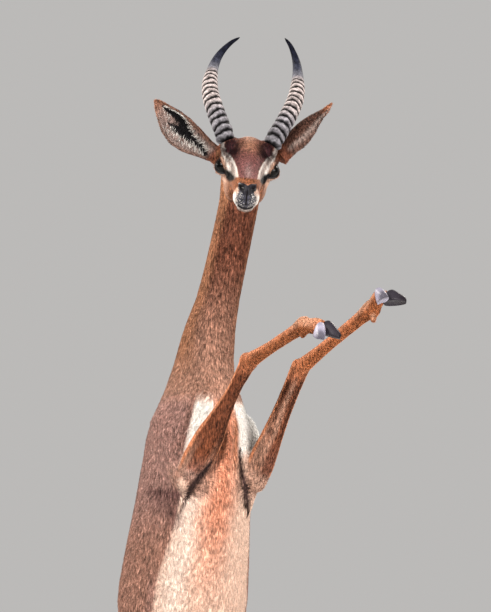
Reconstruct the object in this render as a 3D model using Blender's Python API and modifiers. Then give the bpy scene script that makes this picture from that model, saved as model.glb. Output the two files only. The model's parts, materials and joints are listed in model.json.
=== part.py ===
"""Gerenuk rearing on its hind legs with both forelegs raised: a still, life-size model on a flat base.

Metres, +Z up. The origin is the middle of the base's underside. The face looks along -Y and the animal's
left side is at +X. The chest is turned TRUNK_YAW towards +X. The flesh is lofted from named sizes, fused by
remeshing, thinned, and parted with thin cuts, so that each node meets the next one face to face.
"""

import math

import bmesh
import bpy
import numpy as np
from mathutils import Matrix, Vector

GAP = 0.0003
SOLID_NAME = "gerenuk"

# Base
BASE_WIDTH = 0.66
BASE_DEPTH = 0.60
BASE_HEIGHT = 0.03
BASE_CORNER = 0.08
BASE_BEVEL = 0.004
SOLE = BASE_HEIGHT + GAP

# Trunk and neck
TRUNK_YAW = math.radians(18)
FRONT = Vector((math.sin(TRUNK_YAW), -math.cos(TRUNK_YAW), 0))
LEFT = Vector((math.cos(TRUNK_YAW), math.sin(TRUNK_YAW), 0))
HIP_CENTRE = Vector((-0.035, 0.030, 0.79))
CHEST_CENTRE = Vector((0.018, -0.010, 1.344))
# height, how far the section's middle lies in front of the spine line, half depth, half width
TRUNK = (
    (0.770, -0.022, 0.078, 0.074),
    (0.82, -0.024, 0.106, 0.092),
    (0.88, -0.016, 0.106, 0.094),
    (0.95, -0.002, 0.106, 0.099),
    (1.03, 0.008, 0.119, 0.113),
    (1.11, 0.013, 0.132, 0.107),
    (1.19, 0.018, 0.143, 0.097),
    (1.27, 0.021, 0.146, 0.090),
    (1.33, 0.017, 0.138, 0.084),
    (1.368, 0.012, 0.125, 0.073),
)
# x, y, z of the neck's middle, half width, half depth, yaw in degrees
NECK = (
    (0.0265, -0.020, 1.405, 0.0600, 0.108, 17),
    (0.0290, -0.020, 1.440, 0.0515, 0.090, 15),
    (0.0380, -0.020, 1.498, 0.0450, 0.069, 12),
    (0.0525, -0.020, 1.557, 0.0380, 0.054, 9),
    (0.0735, -0.024, 1.650, 0.0355, 0.044, 6),
    (0.0900, -0.034, 1.729, 0.0350, 0.044, 4),
    (0.0975, -0.046, 1.775, 0.0360, 0.046, 3),
)
NECK_CUT = Vector((0.028, -0.016, 1.410))
NECK_CUT_RADIUS = 0.135

# Head: its frame is at the middle of the eyes
HEAD_YAW = math.radians(1.5)
HEAD_ROLL = math.radians(5.5)
HEAD_ORIGIN = Vector((0.105, -0.100, 1.792))
HEAD_FRONT = Vector((math.sin(HEAD_YAW), -math.cos(HEAD_YAW), 0))
HEAD_UP = Vector((math.sin(HEAD_ROLL), 0, math.cos(HEAD_ROLL)))
HEAD_LEFT = HEAD_UP.cross(HEAD_FRONT).normalized()
# forward of the eyes, height of the upper line, height of the lower line, half width
SKULL = (
    (-0.092, 0.008, -0.030, 0.018),
    (-0.080, 0.035, -0.046, 0.034),
    (-0.060, 0.049, -0.057, 0.043),
    (-0.035, 0.055, -0.062, 0.0465),
    (-0.012, 0.055, -0.064, 0.0430),
    (0.012, 0.046, -0.062, 0.0360),
    (0.038, 0.031, -0.060, 0.0310),
    (0.065, 0.014, -0.061, 0.0270),
    (0.090, 0.000, -0.067, 0.0243),
    (0.110, -0.009, -0.073, 0.0232),
    (0.124, -0.016, -0.075, 0.0222),
    (0.132, -0.024, -0.072, 0.0190),
)
# Rounded masses on each side of the head: sideways, forward, up, and the three radii
BROW = (0.0340, -0.016, 0.006, 0.0160, 0.030, 0.0240)
CHEEKBONE = (0.0300, 0.006, 0.000, 0.0120, 0.034, 0.0240)
JAW = (0.0215, -0.026, -0.030, 0.0165, 0.054, 0.030)
HORN_SEAT = (0.0310, -0.020, 0.034, 0.0200, 0.028, 0.019)
UPPER_LIP = (0.0125, 0.118, -0.052, 0.0110, 0.016, 0.0165)
EAR_SEAT = (0.0420, -0.056, 0.022, 0.0150, 0.020, 0.020)
NOSTRIL_WING = (0.0085, 0.1250, -0.0320, 0.0080, 0.0110, 0.0100)
CHIN = (0, 0.112, -0.0700, 0.0150, 0.018, 0.0085)
EYE_RADIUS = 0.0150
EYE_SIDE = 0.0400
EYE_BACK = -0.002
EYE_GAZE = (0.80, 0.60)
JAW_PINCH = 0.16
ORBIT_RADII = (0.0106, 0.0205, 0.0192)
LID_RADIUS = 0.0130
LID_LIFT = 0.0076
LID_THICKNESS = 0.0020
LID_FLATTENING = 0.86
NOSTRIL_SIDE = 0.0095
NOSTRIL_FORWARD = 0.1365
NOSTRIL_UP = -0.0325
MOUTH_UP = -0.0640
MOUTH_OPENING = 0.0012
MOUTH_HALF_WIDTH = 0.030
MOUTH_BACK = 0.060
MOUTH_RUN = 0.080
MOUTH_RISE = 0.016
MOUTH_DEPTH = 0.0080
HEAD_CUT = (-0.052, -0.078)
HEAD_CUT_RADIUS = 0.22
HEAD_CUT_RUN = 0.4

# Horns: sideways, forward and up from the head's frame, radius, and how far both sway to the animal's right
HORN = (
    (0.0400, -0.006, 0.040, 0.0156, 0.0030),
    (0.0445, -0.014, 0.056, 0.0162, 0.0030),
    (0.0530, -0.026, 0.073, 0.0160, 0.0036),
    (0.0640, -0.045, 0.097, 0.0157, 0.0044),
    (0.0730, -0.068, 0.120, 0.0148, 0.0050),
    (0.0765, -0.092, 0.141, 0.0134, 0.0052),
    (0.0758, -0.115, 0.160, 0.0108, 0.0050),
    (0.0730, -0.133, 0.178, 0.0086, 0.0044),
    (0.0680, -0.143, 0.194, 0.0068, 0.0036),
    (0.0600, -0.146, 0.209, 0.0050, 0.0025),
    (0.0510, -0.143, 0.221, 0.0036, 0.0013),
    (0.0390, -0.136, 0.2315, 0.0016, 0.0002),
)
HORN_RINGS = 13
HORN_RINGED_SHARE = 0.66
HORN_LEAN = math.radians(2.0)
HORN_STRETCH = {"right": 0.985, "left": 1.025}
HORN_RING_DEPTH = 0.11
HORN_RING_WAVE = (-1.0, 0.7, 0.7)
HORN_SIDES = 9

# Ears: half width along the length, as share of the length and metres
EAR_WIDTH = (
    (0, 0.0130),
    (0.15, 0.0165),
    (0.35, 0.0245),
    (0.52, 0.0275),
    (0.68, 0.0240),
    (0.82, 0.0155),
    (0.92, 0.0090),
    (1, 0.0030),
)
EAR_THICKNESS = 0.0024
EAR_ROOT = -0.10
EAR_ROWS = 16
EAR_COLUMNS = 8
EAR_SPREAD_ROOT = 118
EAR_SPREAD_LOST = 66
EAR_DEPTH = 0.016
EAR_SLIM_FROM = (0.25, 0.70)
EARS = {
    "right": {
        "base": Vector((0.0520, -0.056, 1.8150)),
        "tip": Vector((-0.0560, -0.060, 1.9110)),
        "opening": Vector((-0.05, -1, -0.12)),
        "bow": 0.0105,
        "slimmer": 0,
    },
    "left": {
        "base": Vector((0.1640, -0.052, 1.8180)),
        "tip": Vector((0.2555, 0.012, 1.9020)),
        "opening": Vector((0.55, 0.62, -0.55)),
        "bow": 0,
        "slimmer": 0.42,
    },
}

# Forelegs: joints, with half widths along the forearm and the cannon as share of the length and metres
FORELEGS = {
    "right": {
        "shoulder": Vector((-0.024, -0.046, 1.338)),
        "shoulder_radius": 0.042,
        "elbow": Vector((0.0010, -0.150, 1.250)),
        "elbow_radius": 0.027,
        "carpus": Vector((0.1070, -0.233, 1.4555)),
        "fetlock": Vector((0.2020, -0.425, 1.5185)),
        "forearm": (
            (0, 0.027),
            (0.2, 0.0275),
            (0.38, 0.0250),
            (0.5, 0.0200),
            (0.62, 0.0153),
            (0.78, 0.0123),
            (1, 0.0155),
        ),
        "fold": Vector((-0.006, -0.085, 1.190)),
        "claws": (
            {
                "coronet": Vector((0.2245, -0.446, 1.5195)),
                "along": Vector((0.86, -0.36, -0.24)),
                "up": Vector((0.33, 0.1, 0.9)),
            },
            {
                "coronet": Vector((0.2270, -0.458, 1.5150)),
                "along": Vector((0.10, -0.95, -0.16)),
                "up": Vector((0.16, -0.16, 0.95)),
            },
        ),
        "dewclaw": Vector((0.1990, -0.430, 1.5000)),
    },
    "left": {
        "shoulder": Vector((0.0820, -0.030, 1.330)),
        "shoulder_radius": 0.038,
        "elbow": Vector((0.1150, -0.112, 1.246)),
        "elbow_radius": 0.0225,
        "carpus": Vector((0.1965, -0.150, 1.4440)),
        "fetlock": Vector((0.3195, -0.312, 1.5475)),
        "forearm": ((0, 0.0235), (0.19, 0.0242), (0.36, 0.0205), (0.54, 0.0174), (0.8, 0.0160), (1, 0.0168)),
        "fold": Vector((0.0950, -0.070, 1.185)),
        "claws": (
            {
                "coronet": Vector((0.3340, -0.330, 1.5670)),
                "along": Vector((0.90, -0.30, 0.05)),
                "up": Vector((0.20, 0.45, 0.87)),
            },
            {
                "coronet": Vector((0.3305, -0.342, 1.5665)),
                "along": Vector((0.12, -0.92, 0.24)),
                "up": Vector((-0.36, 0.22, 0.90)),
            },
        ),
        "dewclaw": Vector((0.3215, -0.326, 1.5260)),
    },
}
CANNON = ((0, 0.0155), (0.12, 0.0135), (0.3, 0.0118), (0.65, 0.0116), (0.88, 0.0130), (1, 0.0165))
CARPUS_RADIUS = 0.0172
FETLOCK_RADIUS = 0.0165
PASTERN_RADIUS = 0.0128
DEWCLAW_RADII = (0.0095, 0.0058)
CANNON_CUT = 0.016
CANNON_CUT_RADIUS = 0.07
CANNON_CUT_RUN = 0.45

# Hind legs: sideways, forward and height, half width and half depth
HIND_LEG = (
    (0.046, -0.024, 0.870, 0.044, 0.078),
    (0.060, -0.012, 0.800, 0.052, 0.100),
    (0.074, 0.012, 0.730, 0.048, 0.095),
    (0.084, 0.038, 0.665, 0.039, 0.072),
    (0.089, 0.058, 0.605, 0.031, 0.049),
    (0.092, 0.044, 0.550, 0.0255, 0.037),
    (0.094, 0.014, 0.475, 0.0185, 0.0245),
    (0.096, -0.011, 0.410, 0.0145, 0.0175),
    (0.097, -0.026, 0.365, 0.0160, 0.0215),
    (0.098, -0.021, 0.330, 0.0130, 0.0160),
    (0.099, -0.013, 0.250, 0.0112, 0.0130),
    (0.100, -0.005, 0.160, 0.0112, 0.0125),
    (0.100, 0.000, 0.115, 0.0150, 0.0165),
    (0.100, 0.018, 0.088, 0.0135, 0.0130),
    (0.100, 0.034, 0.068, 0.0165, 0.0140),
)
HEEL_TENDON = (
    (0.092, 0.026, 0.560, 0.010, 0.016),
    (0.094, -0.002, 0.475, 0.009, 0.013),
    (0.096, -0.026, 0.410, 0.0085, 0.013),
    (0.097, -0.040, 0.372, 0.0100, 0.013),
)
FLANK_FOLD = (
    (0.052, 0.062, 0.935, 0.022, 0.028),
    (0.066, 0.074, 0.850, 0.016, 0.028),
    (0.078, 0.084, 0.770, 0.014, 0.026),
    (0.086, 0.080, 0.690, 0.016, 0.026),
)
HIND_TOE = ((0.012, 0.095, 0.012), (0.034, 0.066, 0.0125), (0.043, 0.052, 0.010))
HIND_TOE_HALF_WIDTH = 0.0085
HIND_DEWCLAW_SIDE = 0.009
HIND_DEWCLAW = ((-0.010, 0.112, 0.0070), (-0.022, 0.098, 0.0045))
HIND_CORONET_FORWARD = 0.040
THIGH_CUT_HEIGHT = 0.655
HOCK_CUT_HEIGHT = 0.318
HIND_COLUMN_WIDTH = 0.30

# Claws of the hoof
CLAW_LENGTH = 0.036
CORONET_TO_CLAW = 0.012
CLAW_HALF_WIDTH = 0.0098
CLAW_HEIGHT = 0.0260
HIND_CLAW_LENGTH = 0.051
HIND_CLAW_HEIGHT = 0.036
HIND_CLAW_SIDE = 0.0102
# share of the claw's length, and height and width as shares of the largest
CLAW_PROFILE = (
    (-0.20, 0.30, 0.45),
    (-0.12, 0.60, 0.72),
    (0.0, 0.86, 0.92),
    (0.2, 1.0, 1.0),
    (0.45, 0.86, 0.98),
    (0.7, 0.62, 0.84),
    (0.9, 0.42, 0.58),
    (1.0, 0.28, 0.36),
)
CLAW_FACETS = 8

# Tail
TAIL = (
    (-0.075, 0.845, 0.0150),
    (-0.112, 0.835, 0.0125),
    (-0.134, 0.795, 0.0098),
    (-0.142, 0.735, 0.0080),
    (-0.143, 0.675, 0.0070),
    (-0.141, 0.625, 0.0066),
    (-0.140, 0.595, 0.0050),
)
TAIL_LOCKS = 10
TAIL_LOCK_LENGTH = 0.078
TAIL_LOCK_WIDTH = 0.0080
TAIL_LOCK_TOP = 0.665
TAIL_LOCK_SPAN = 0.060
TAIL_LOCK_TURN = 2.4
TAIL_LOCK_LIE = ((0, 0), (0.4, 0.007), (0.8, 0.009), (1, 0.006))
TAIL_LOCK_SHAPE = ((0.8, 0.0032), (1, 0.0030), (0.5, 0.0018), (0.1, 0.0006))

# Mesh sizes
BODY_VOXEL = 0.0045
BODY_SMOOTHING = 9
BODY_TRIANGLES = 4500
LIMB_VOXEL = 0.0028
LIMB_SMOOTHING = 3
LIMB_TRIANGLES = 660
HEAD_VOXEL = 0.0020
HEAD_SMOOTHING = 6
HEAD_TRIANGLES = 2300

COLOURS = {
    "coat": ((0.36, 0.20, 0.12, 1), 0.8),
    "chest": ((0.62, 0.47, 0.37, 1), 0.8),
    "leg": ((0.34, 0.18, 0.10, 1), 0.8),
    "ear": ((0.30, 0.19, 0.13, 1), 0.8),
    "tail": ((0.10, 0.07, 0.05, 1), 0.9),
    "horn": ((0.16, 0.13, 0.11, 1), 0.5),
    "eye": ((0.01, 0.008, 0.006, 1), 0.05),
    "hoof": ((0.05, 0.045, 0.05, 1), 0.35),
    "wood": ((0.28, 0.17, 0.09, 1), 0.5),
}


def smooth(keys, values, at):
    """Cubic curve through the values at the keys, read at other keys."""
    keys = np.asarray(keys, float)
    values = np.asarray(values, float)
    slopes = np.gradient(values, keys, axis=0)
    low = np.clip(np.searchsorted(keys, at, side="right") - 1, 0, len(keys) - 2)
    span = (keys[low + 1] - keys[low])[:, None]
    t = (at - keys[low])[:, None] / span
    start = (2 * t**3 - 3 * t**2 + 1) * values[low] + (t**3 - 2 * t**2 + t) * span * slopes[low]
    return start + (3 * t**2 - 2 * t**3) * values[low + 1] + (t**3 - t**2) * span * slopes[low + 1]


def ring(mesh, centre, across, deep, sides, pinch=0):
    """One elliptical ring of vertices, with half axes as vectors. pinch narrows its lower half."""
    made = []
    for k in range(sides):
        turn = 2 * math.pi * k / sides
        narrow = 1 - pinch * max(0, -math.sin(turn))
        made.append(mesh.verts.new(centre + across * math.cos(turn) * narrow + deep * math.sin(turn)))
    return made


def bridge(mesh, rings, closed=True):
    """Joins ring after ring with quads; a closed run ends in a point at each end."""
    for low, high in zip(rings, rings[1:]):
        for k in range(len(low)):
            n = (k + 1) % len(low)
            mesh.faces.new((low[k], low[n], high[n], high[k]))
    if closed:
        for end in (rings[0], rings[-1]):
            tip = mesh.verts.new(sum((v.co for v in end), Vector()) / len(end))
            for k in range(len(end)):
                mesh.faces.new((end[k], end[(k + 1) % len(end)], tip))


def tube(mesh, points, halves, sideways, sides=20, step=0.006, cap=3, pinch=0):
    """Adds a closed loft through points to the mesh. halves is (across, deep) at each point, and sideways
    is the direction of across, one for all or one a point. Its ends are rounded by cap rings."""
    points = np.array([tuple(p) for p in points])
    lengths = np.linalg.norm(np.diff(points, axis=0), axis=1)
    keys = np.concatenate([[0], np.cumsum(lengths)])
    at = np.linspace(0, keys[-1], max(2, int(keys[-1] / step) + 1))
    if isinstance(sideways, Vector):
        sideways = [sideways] * len(points)
    centres = smooth(keys, points, at)
    sizes = smooth(keys, halves, at)
    sides_to = smooth(keys, [tuple(s) for s in sideways], at)
    tangents = np.gradient(centres, axis=0)
    frames = []
    for centre, size, side, tangent in zip(centres, sizes, sides_to, tangents):
        along = Vector(tangent).normalized()
        across = Vector(side) - along * Vector(side).dot(along)
        across.normalize()
        frames.append((Vector(centre), across * size[0], along.cross(across) * size[1], along))
    rings = []
    for end, sign in ((frames[0], -1), (frames[-1], 1)):
        centre, across, deep, along = end
        reach = 0.85 * min(across.length, deep.length)
        rounded = []
        for k in range(1, cap + 1):
            turn = math.pi / 2 * k / (cap + 0.4)
            middle = centre + along * sign * reach * math.sin(turn)
            shrink = math.cos(turn)
            rounded.append(ring(mesh, middle, across * shrink, deep * shrink, sides, pinch))
        rings.append(rounded)
    body = [ring(mesh, centre, across, deep, sides, pinch) for centre, across, deep, _ in frames]
    bridge(mesh, rings[0][::-1] + body + rings[1])


def blob(mesh, centre, axes, radii):
    """Adds an ellipsoid with its radii along the given directions."""
    turn = Matrix([axis.normalized() * radius for axis, radius in zip(axes, radii)]).transposed().to_4x4()
    place = Matrix.Translation(centre) @ turn
    bmesh.ops.create_uvsphere(mesh, u_segments=24, v_segments=14, radius=1, matrix=place)


def new_object(name, mesh, collection, helper=False):
    """Makes an object of a bmesh, with all faces pointing out."""
    bmesh.ops.recalc_face_normals(mesh, faces=mesh.faces)
    data = bpy.data.meshes.new(name)
    mesh.to_mesh(data)
    mesh.free()
    made = bpy.data.objects.new(name, data)
    collection.objects.link(made)
    if helper:
        made.hide_render = True
        made.display_type = "WIRE"
    return made


def apply_modifiers(made):
    bpy.context.view_layer.update()
    result = bpy.data.meshes.new_from_object(made.evaluated_get(bpy.context.evaluated_depsgraph_get()))
    made.modifiers.clear()
    made.data = result


def triangles(made):
    return sum(len(face.vertices) - 2 for face in made.data.polygons)


def fuse(made, voxel, rounds, target):
    """Turns overlapping closed shells into one smooth closed surface of about target triangles."""
    remesh = made.modifiers.new("Remesh", "REMESH")
    remesh.mode = "VOXEL"
    remesh.voxel_size = voxel
    soften = made.modifiers.new("Smooth", "SMOOTH")
    soften.factor = 0.5
    soften.iterations = rounds
    apply_modifiers(made)
    thin = made.modifiers.new("Decimate", "DECIMATE")
    thin.ratio = min(1, target / triangles(made))
    apply_modifiers(made)


def keep_largest(made):
    """Drops every closed surface but the largest."""
    mesh = bmesh.new()
    mesh.from_mesh(made.data)
    bmesh.ops.remove_doubles(mesh, verts=mesh.verts, dist=1e-6)
    left = set(mesh.verts)
    shells = []
    while left:
        front = [left.pop()]
        shell = set(front)
        while front:
            for edge in front.pop().link_edges:
                for vert in edge.verts:
                    if vert in left:
                        left.remove(vert)
                        shell.add(vert)
                        front.append(vert)
        shells.append(shell)
    shells.sort(key=len)
    loose = [vert for shell in shells[:-1] for vert in shell]
    if loose:
        bmesh.ops.delete(mesh, geom=loose, context="VERTS")
    mesh.to_mesh(made.data)
    mesh.free()


def boolean(made, operation, other):
    cut = made.modifiers.new("Boolean", "BOOLEAN")
    cut.operation = operation
    cut.solver = "EXACT"
    cut.object = other
    apply_modifiers(made)
    keep_largest(made)


def join_all(made, group):
    """Fuses a collection's closed objects to the object, and removes them."""
    join = made.modifiers.new("Union", "BOOLEAN")
    join.operation = "UNION"
    join.solver = "EXACT"
    join.operand_type = "COLLECTION"
    join.collection = group
    apply_modifiers(made)
    keep_largest(made)
    for piece in list(group.objects):
        remove(piece)
    bpy.data.collections.remove(group)


def new_group(name):
    group = bpy.data.collections.new(name)
    bpy.context.scene.collection.children.link(group)
    return group


def grown(source, collection):
    """A helper copy of an object, larger all round by the gap."""
    copy = bpy.data.objects.new(source.name + "_grown", source.data.copy())
    collection.objects.link(copy)
    copy.matrix_world = source.matrix_world
    swell = copy.modifiers.new("Displace", "DISPLACE")
    swell.strength = GAP
    swell.mid_level = 0
    apply_modifiers(copy)
    copy.hide_render = True
    copy.display_type = "WIRE"
    return copy


def remove(made):
    bpy.data.objects.remove(made)


def cut_clear(made, neighbour, collection):
    """Cuts the object back from its neighbour, leaving the gap."""
    helper = grown(neighbour, collection)
    boolean(made, "DIFFERENCE", helper)
    remove(helper)


def box_region(name, low, high, axes, origin, collection):
    """A box helper between two corners in the given axes about an origin."""
    mesh = bmesh.new()
    size = [h - l for l, h in zip(low, high)]
    middle = [(h + l) / 2 for l, h in zip(low, high)]
    turn = Matrix(axes).transposed().to_4x4()
    place = Matrix.Translation(origin) @ turn @ Matrix.Translation(middle) @ Matrix.Diagonal((*size, 1))
    bmesh.ops.create_cube(mesh, size=1, matrix=place)
    return new_object(name, mesh, collection, helper=True)


def disc_region(name, start, along, radius, length, collection):
    """A cylinder helper that starts at a point and runs along a direction."""
    mesh = bmesh.new()
    turn = along.to_track_quat("Z", "Y").to_matrix().to_4x4()
    place = Matrix.Translation(start + along.normalized() * length / 2) @ turn
    bmesh.ops.create_cone(
        mesh, cap_ends=True, segments=32, radius1=radius, radius2=radius, depth=length, matrix=place
    )
    return new_object(name, mesh, collection, helper=True)


def part_off(body, name, region, wider, collection):
    """Takes what lies in the region off the body as a new node, and cuts the wider region from the body."""
    piece = bpy.data.objects.new(name, body.data.copy())
    collection.objects.link(piece)
    boolean(piece, "INTERSECT", region)
    boolean(body, "DIFFERENCE", wider)
    remove(region)
    remove(wider)
    return piece


def head_point(side, forward, up):
    return HEAD_ORIGIN + HEAD_LEFT * side + HEAD_FRONT * forward + HEAD_UP * up


def trunk_point(side, forward, height):
    """A point beside and in front of the line from the hips to the chest."""
    share = (height - HIP_CENTRE.z) / (CHEST_CENTRE.z - HIP_CENTRE.z)
    middle = HIP_CENTRE.lerp(CHEST_CENTRE, share)
    point = middle + LEFT * side + FRONT * forward
    point.z = height
    return point


def hip_point(side, forward, height):
    """A point of the hind quarters, which stand straight under the hips."""
    point = HIP_CENTRE + LEFT * side + FRONT * forward
    point.z = height
    return point


def add_neck(mesh, start):
    stations = NECK[start:]
    yaws = [math.radians(s[5]) for s in stations]
    sideways = [Vector((math.cos(a), math.sin(a), 0)) for a in yaws]
    tube(mesh, [Vector(s[:3]) for s in stations], [(s[3], s[4]) for s in stations], sideways, sides=28)


def add_trunk(mesh):
    """Trunk and neck as one loft, with shoulders, upper arms and the skin folds behind the elbows."""
    points = [trunk_point(0, forward, height) for height, forward, _, _ in TRUNK]
    halves = [(wide, deep) for _, _, deep, wide in TRUNK]
    sideways = [LEFT] * len(TRUNK)
    for x, y, z, wide, deep, yaw in NECK:
        points.append(Vector((x, y, z)))
        halves.append((wide, deep))
        sideways.append(Vector((math.cos(math.radians(yaw)), math.sin(math.radians(yaw)), 0)))
    tube(mesh, points, halves, sideways, sides=36, step=0.010)
    for leg in FORELEGS.values():
        shoulder, elbow = leg["shoulder"], leg["elbow"]
        radii = (leg["shoulder_radius"], leg["elbow_radius"])
        inward = shoulder.lerp(CHEST_CENTRE, 0.25) + Vector((0, 0.030, 0))
        tube(
            mesh,
            [inward, shoulder, shoulder.lerp(elbow, 0.5), elbow],
            [
                (radii[0] * 0.85, radii[0] * 1.1),
                (radii[0], radii[0] * 1.15),
                (radii[0] * 0.95, radii[0] * 1.05),
                (radii[1], radii[1]),
            ],
            LEFT,
        )
        tube(
            mesh,
            [elbow.lerp(shoulder, 0.15), elbow.lerp(leg["fold"], 0.5), leg["fold"]],
            [(0.017, 0.020), (0.012, 0.022), (0.010, 0.020)],
            LEFT,
        )


def add_hind_legs(mesh):
    for side in (-1, 1):
        points = [hip_point(side * lateral, forward, height) for lateral, forward, height, _, _ in FLANK_FOLD]
        tube(mesh, points, [(s[3], s[4]) for s in FLANK_FOLD], LEFT)
        for stations in (HIND_LEG, HEEL_TENDON):
            points = [hip_point(side * s[0], s[1], s[2]) for s in stations]
            tube(mesh, points, [(s[3], s[4]) for s in stations], LEFT)
        for toe in (-1, 1):
            inner = side * HIND_LEG[-1][0] + toe * HIND_CLAW_SIDE
            points = [hip_point(inner, forward, height) for forward, height, _ in HIND_TOE]
            tube(mesh, points, [(HIND_TOE_HALF_WIDTH, deep) for _, _, deep in HIND_TOE], LEFT)
            heel = side * HIND_LEG[-1][0] + toe * HIND_DEWCLAW_SIDE
            points = [hip_point(heel, forward, height) for forward, height, _ in HIND_DEWCLAW]
            tube(mesh, points, [(radius, radius) for _, _, radius in HIND_DEWCLAW], LEFT)


def make_body(nodes, helpers):
    mesh = bmesh.new()
    add_trunk(mesh)
    add_hind_legs(mesh)
    body = new_object("torso", mesh, nodes)
    fuse(body, BODY_VOXEL, BODY_SMOOTHING, BODY_TRIANGLES)
    along = Vector(NECK[1][:3]) - Vector(NECK[0][:3])
    neck_run = 0.5
    region = disc_region("neck_region", NECK_CUT, along, NECK_CUT_RADIUS, neck_run, helpers)
    below = NECK_CUT - along.normalized() * GAP
    wider = disc_region("neck_wider", below, along, NECK_CUT_RADIUS + GAP, neck_run, helpers)
    neck = part_off(body, "neck", region, wider, nodes)
    legs = {}
    for name, side in (("right", -1), ("left", 1)):
        axes = (LEFT * side, FRONT * side, Vector((0, 0, 1)))
        origin = Vector((HIP_CENTRE.x, HIP_CENTRE.y, 0))
        half = HIND_COLUMN_WIDTH
        top = THIGH_CUT_HEIGHT
        region = box_region("leg_region", (GAP, -half, -GAP), (half, half, top), axes, origin, helpers)
        wider = box_region("leg_wider", (0, -half, -GAP), (half, half, top + GAP), axes, origin, helpers)
        leg = part_off(body, f"hind_leg_{name}_upper", region, wider, nodes)
        top = HOCK_CUT_HEIGHT
        region = box_region("shank_region", (0, -half, -GAP), (half, half, top), axes, origin, helpers)
        wider = box_region("shank_wider", (0, -half, -GAP), (half, half, top + GAP), axes, origin, helpers)
        lower = part_off(leg, f"hind_leg_{name}_lower", region, wider, nodes)
        legs[name] = (leg, lower)
    return body, neck, legs


def along_limb(start, end, profile):
    points = [start.lerp(end, share) for share, _ in profile]
    return points, [(radius, radius) for _, radius in profile]


def make_foreleg(name, leg, nodes, helpers):
    """Forearm from the elbow to the carpus, and cannon, fetlock and toes beyond it."""
    mesh = bmesh.new()
    sideways = Vector((1, 0, 0))
    elbow, carpus, fetlock = leg["elbow"], leg["carpus"], leg["fetlock"]
    points, halves = along_limb(elbow, carpus, leg["forearm"])
    tube(mesh, points, halves, sideways)
    points, halves = along_limb(carpus, fetlock, CANNON)
    up = Vector((0, 0, 1))
    tube(mesh, points, halves, up)
    cube_axes = (Vector((1, 0, 0)), Vector((0, 1, 0)), up)
    blob(mesh, carpus, cube_axes, (CARPUS_RADIUS,) * 3)
    blob(mesh, fetlock, cube_axes, (FETLOCK_RADIUS,) * 3)
    tube(mesh, [fetlock, leg["dewclaw"]], [(radius, radius) for radius in DEWCLAW_RADII], sideways)
    for claw in leg["claws"]:
        toward = claw["along"].normalized()
        middle = fetlock.lerp(claw["coronet"], 0.5)
        end = claw["coronet"] + toward * 0.010
        tube(
            mesh,
            [fetlock, middle, claw["coronet"], end],
            [(0.0135, 0.0135), (PASTERN_RADIUS, 0.0125), (0.0100, 0.0135), (0.0080, 0.0115)],
            toward.cross(claw["up"]),
        )
    limb = new_object(f"foreleg_{name}_upper", mesh, nodes)
    fuse(limb, LIMB_VOXEL, LIMB_SMOOTHING, LIMB_TRIANGLES)
    along = (fetlock - carpus).normalized()
    bend = (carpus - elbow).normalized()
    start = carpus + along * CANNON_CUT
    direction = (along * 0.92 + bend * 0.08).normalized()
    radius, run = CANNON_CUT_RADIUS, CANNON_CUT_RUN
    region = disc_region("cannon_region", start, direction, radius, run, helpers)
    wider = disc_region("cannon_wider", start - direction * GAP, direction, radius + GAP, run, helpers)
    lower = part_off(limb, f"foreleg_{name}_lower", region, wider, nodes)
    return limb, lower


def make_claw(name, coronet, along, up, length, height, half_width, nodes):
    """One claw: a wedge with a rounded wall and a flat sole, its toe pointing along."""
    along = along.normalized()
    up = (up - along * up.dot(along)).normalized()
    across = along.cross(up)
    mesh = bmesh.new()
    sole = coronet - up * height * 0.5
    rings = []
    for share, tall, wide in CLAW_PROFILE:
        middle = sole + along * (share * length)
        section = []
        for k in range(CLAW_FACETS + 1):
            angle = math.pi * k / CLAW_FACETS
            outward = across * half_width * wide * math.cos(angle)
            section.append(mesh.verts.new(middle + outward + up * height * tall * math.sin(angle)))
        rings.append(section)
    bridge(mesh, rings)
    return new_object(name, mesh, nodes)


def make_head(nodes, helpers):
    """Head with brow, cheeks, lips and chin, cut for the eyes, nostrils and mouth."""
    mesh = bmesh.new()
    points = [head_point(0, forward, (top + bottom) / 2) for forward, top, bottom, _ in SKULL]
    halves = [(wide, (top - bottom) / 2) for _, top, bottom, wide in SKULL]
    tube(mesh, points, halves, HEAD_LEFT, sides=32, step=0.004, pinch=JAW_PINCH)
    add_neck(mesh, 3)
    axes = (HEAD_LEFT, HEAD_FRONT, HEAD_UP)
    for side in (-1, 1):
        centre, outward, low, high = eye_frame(side)
        blob(mesh, centre, (outward, low, high), ORBIT_RADII)
        for mass in (BROW, CHEEKBONE, JAW, HORN_SEAT, UPPER_LIP, EAR_SEAT, NOSTRIL_WING):
            blob(mesh, head_point(side * mass[0], *mass[1:3]), axes, mass[3:])
    blob(mesh, head_point(*CHIN[:3]), axes, CHIN[3:])
    tube(
        mesh,
        [head_point(0, -0.055, -0.030), Vector(NECK[-1][:3]) + HEAD_UP * 0.010, Vector(NECK[-2][:3])],
        [(0.040, 0.050), (0.038, 0.048), (0.0345, 0.043)],
        HEAD_LEFT,
    )
    head = new_object("head", mesh, nodes)
    fuse(head, HEAD_VOXEL, HEAD_SMOOTHING, HEAD_TRIANGLES)
    add_lids(head, helpers)
    for side in (-1, 1):
        boolean(head, "DIFFERENCE", nostril_cutter(side, helpers))
    boolean(head, "DIFFERENCE", mouth_cutter(helpers))
    cut_point = head_point(0, *HEAD_CUT)
    along = (HEAD_FRONT * 0.62 + HEAD_UP * 0.78).normalized()
    region = disc_region("head_region", cut_point, along, HEAD_CUT_RADIUS, HEAD_CUT_RUN, helpers)
    boolean(head, "INTERSECT", region)
    remove(region)
    return head, cut_point, along


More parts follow.
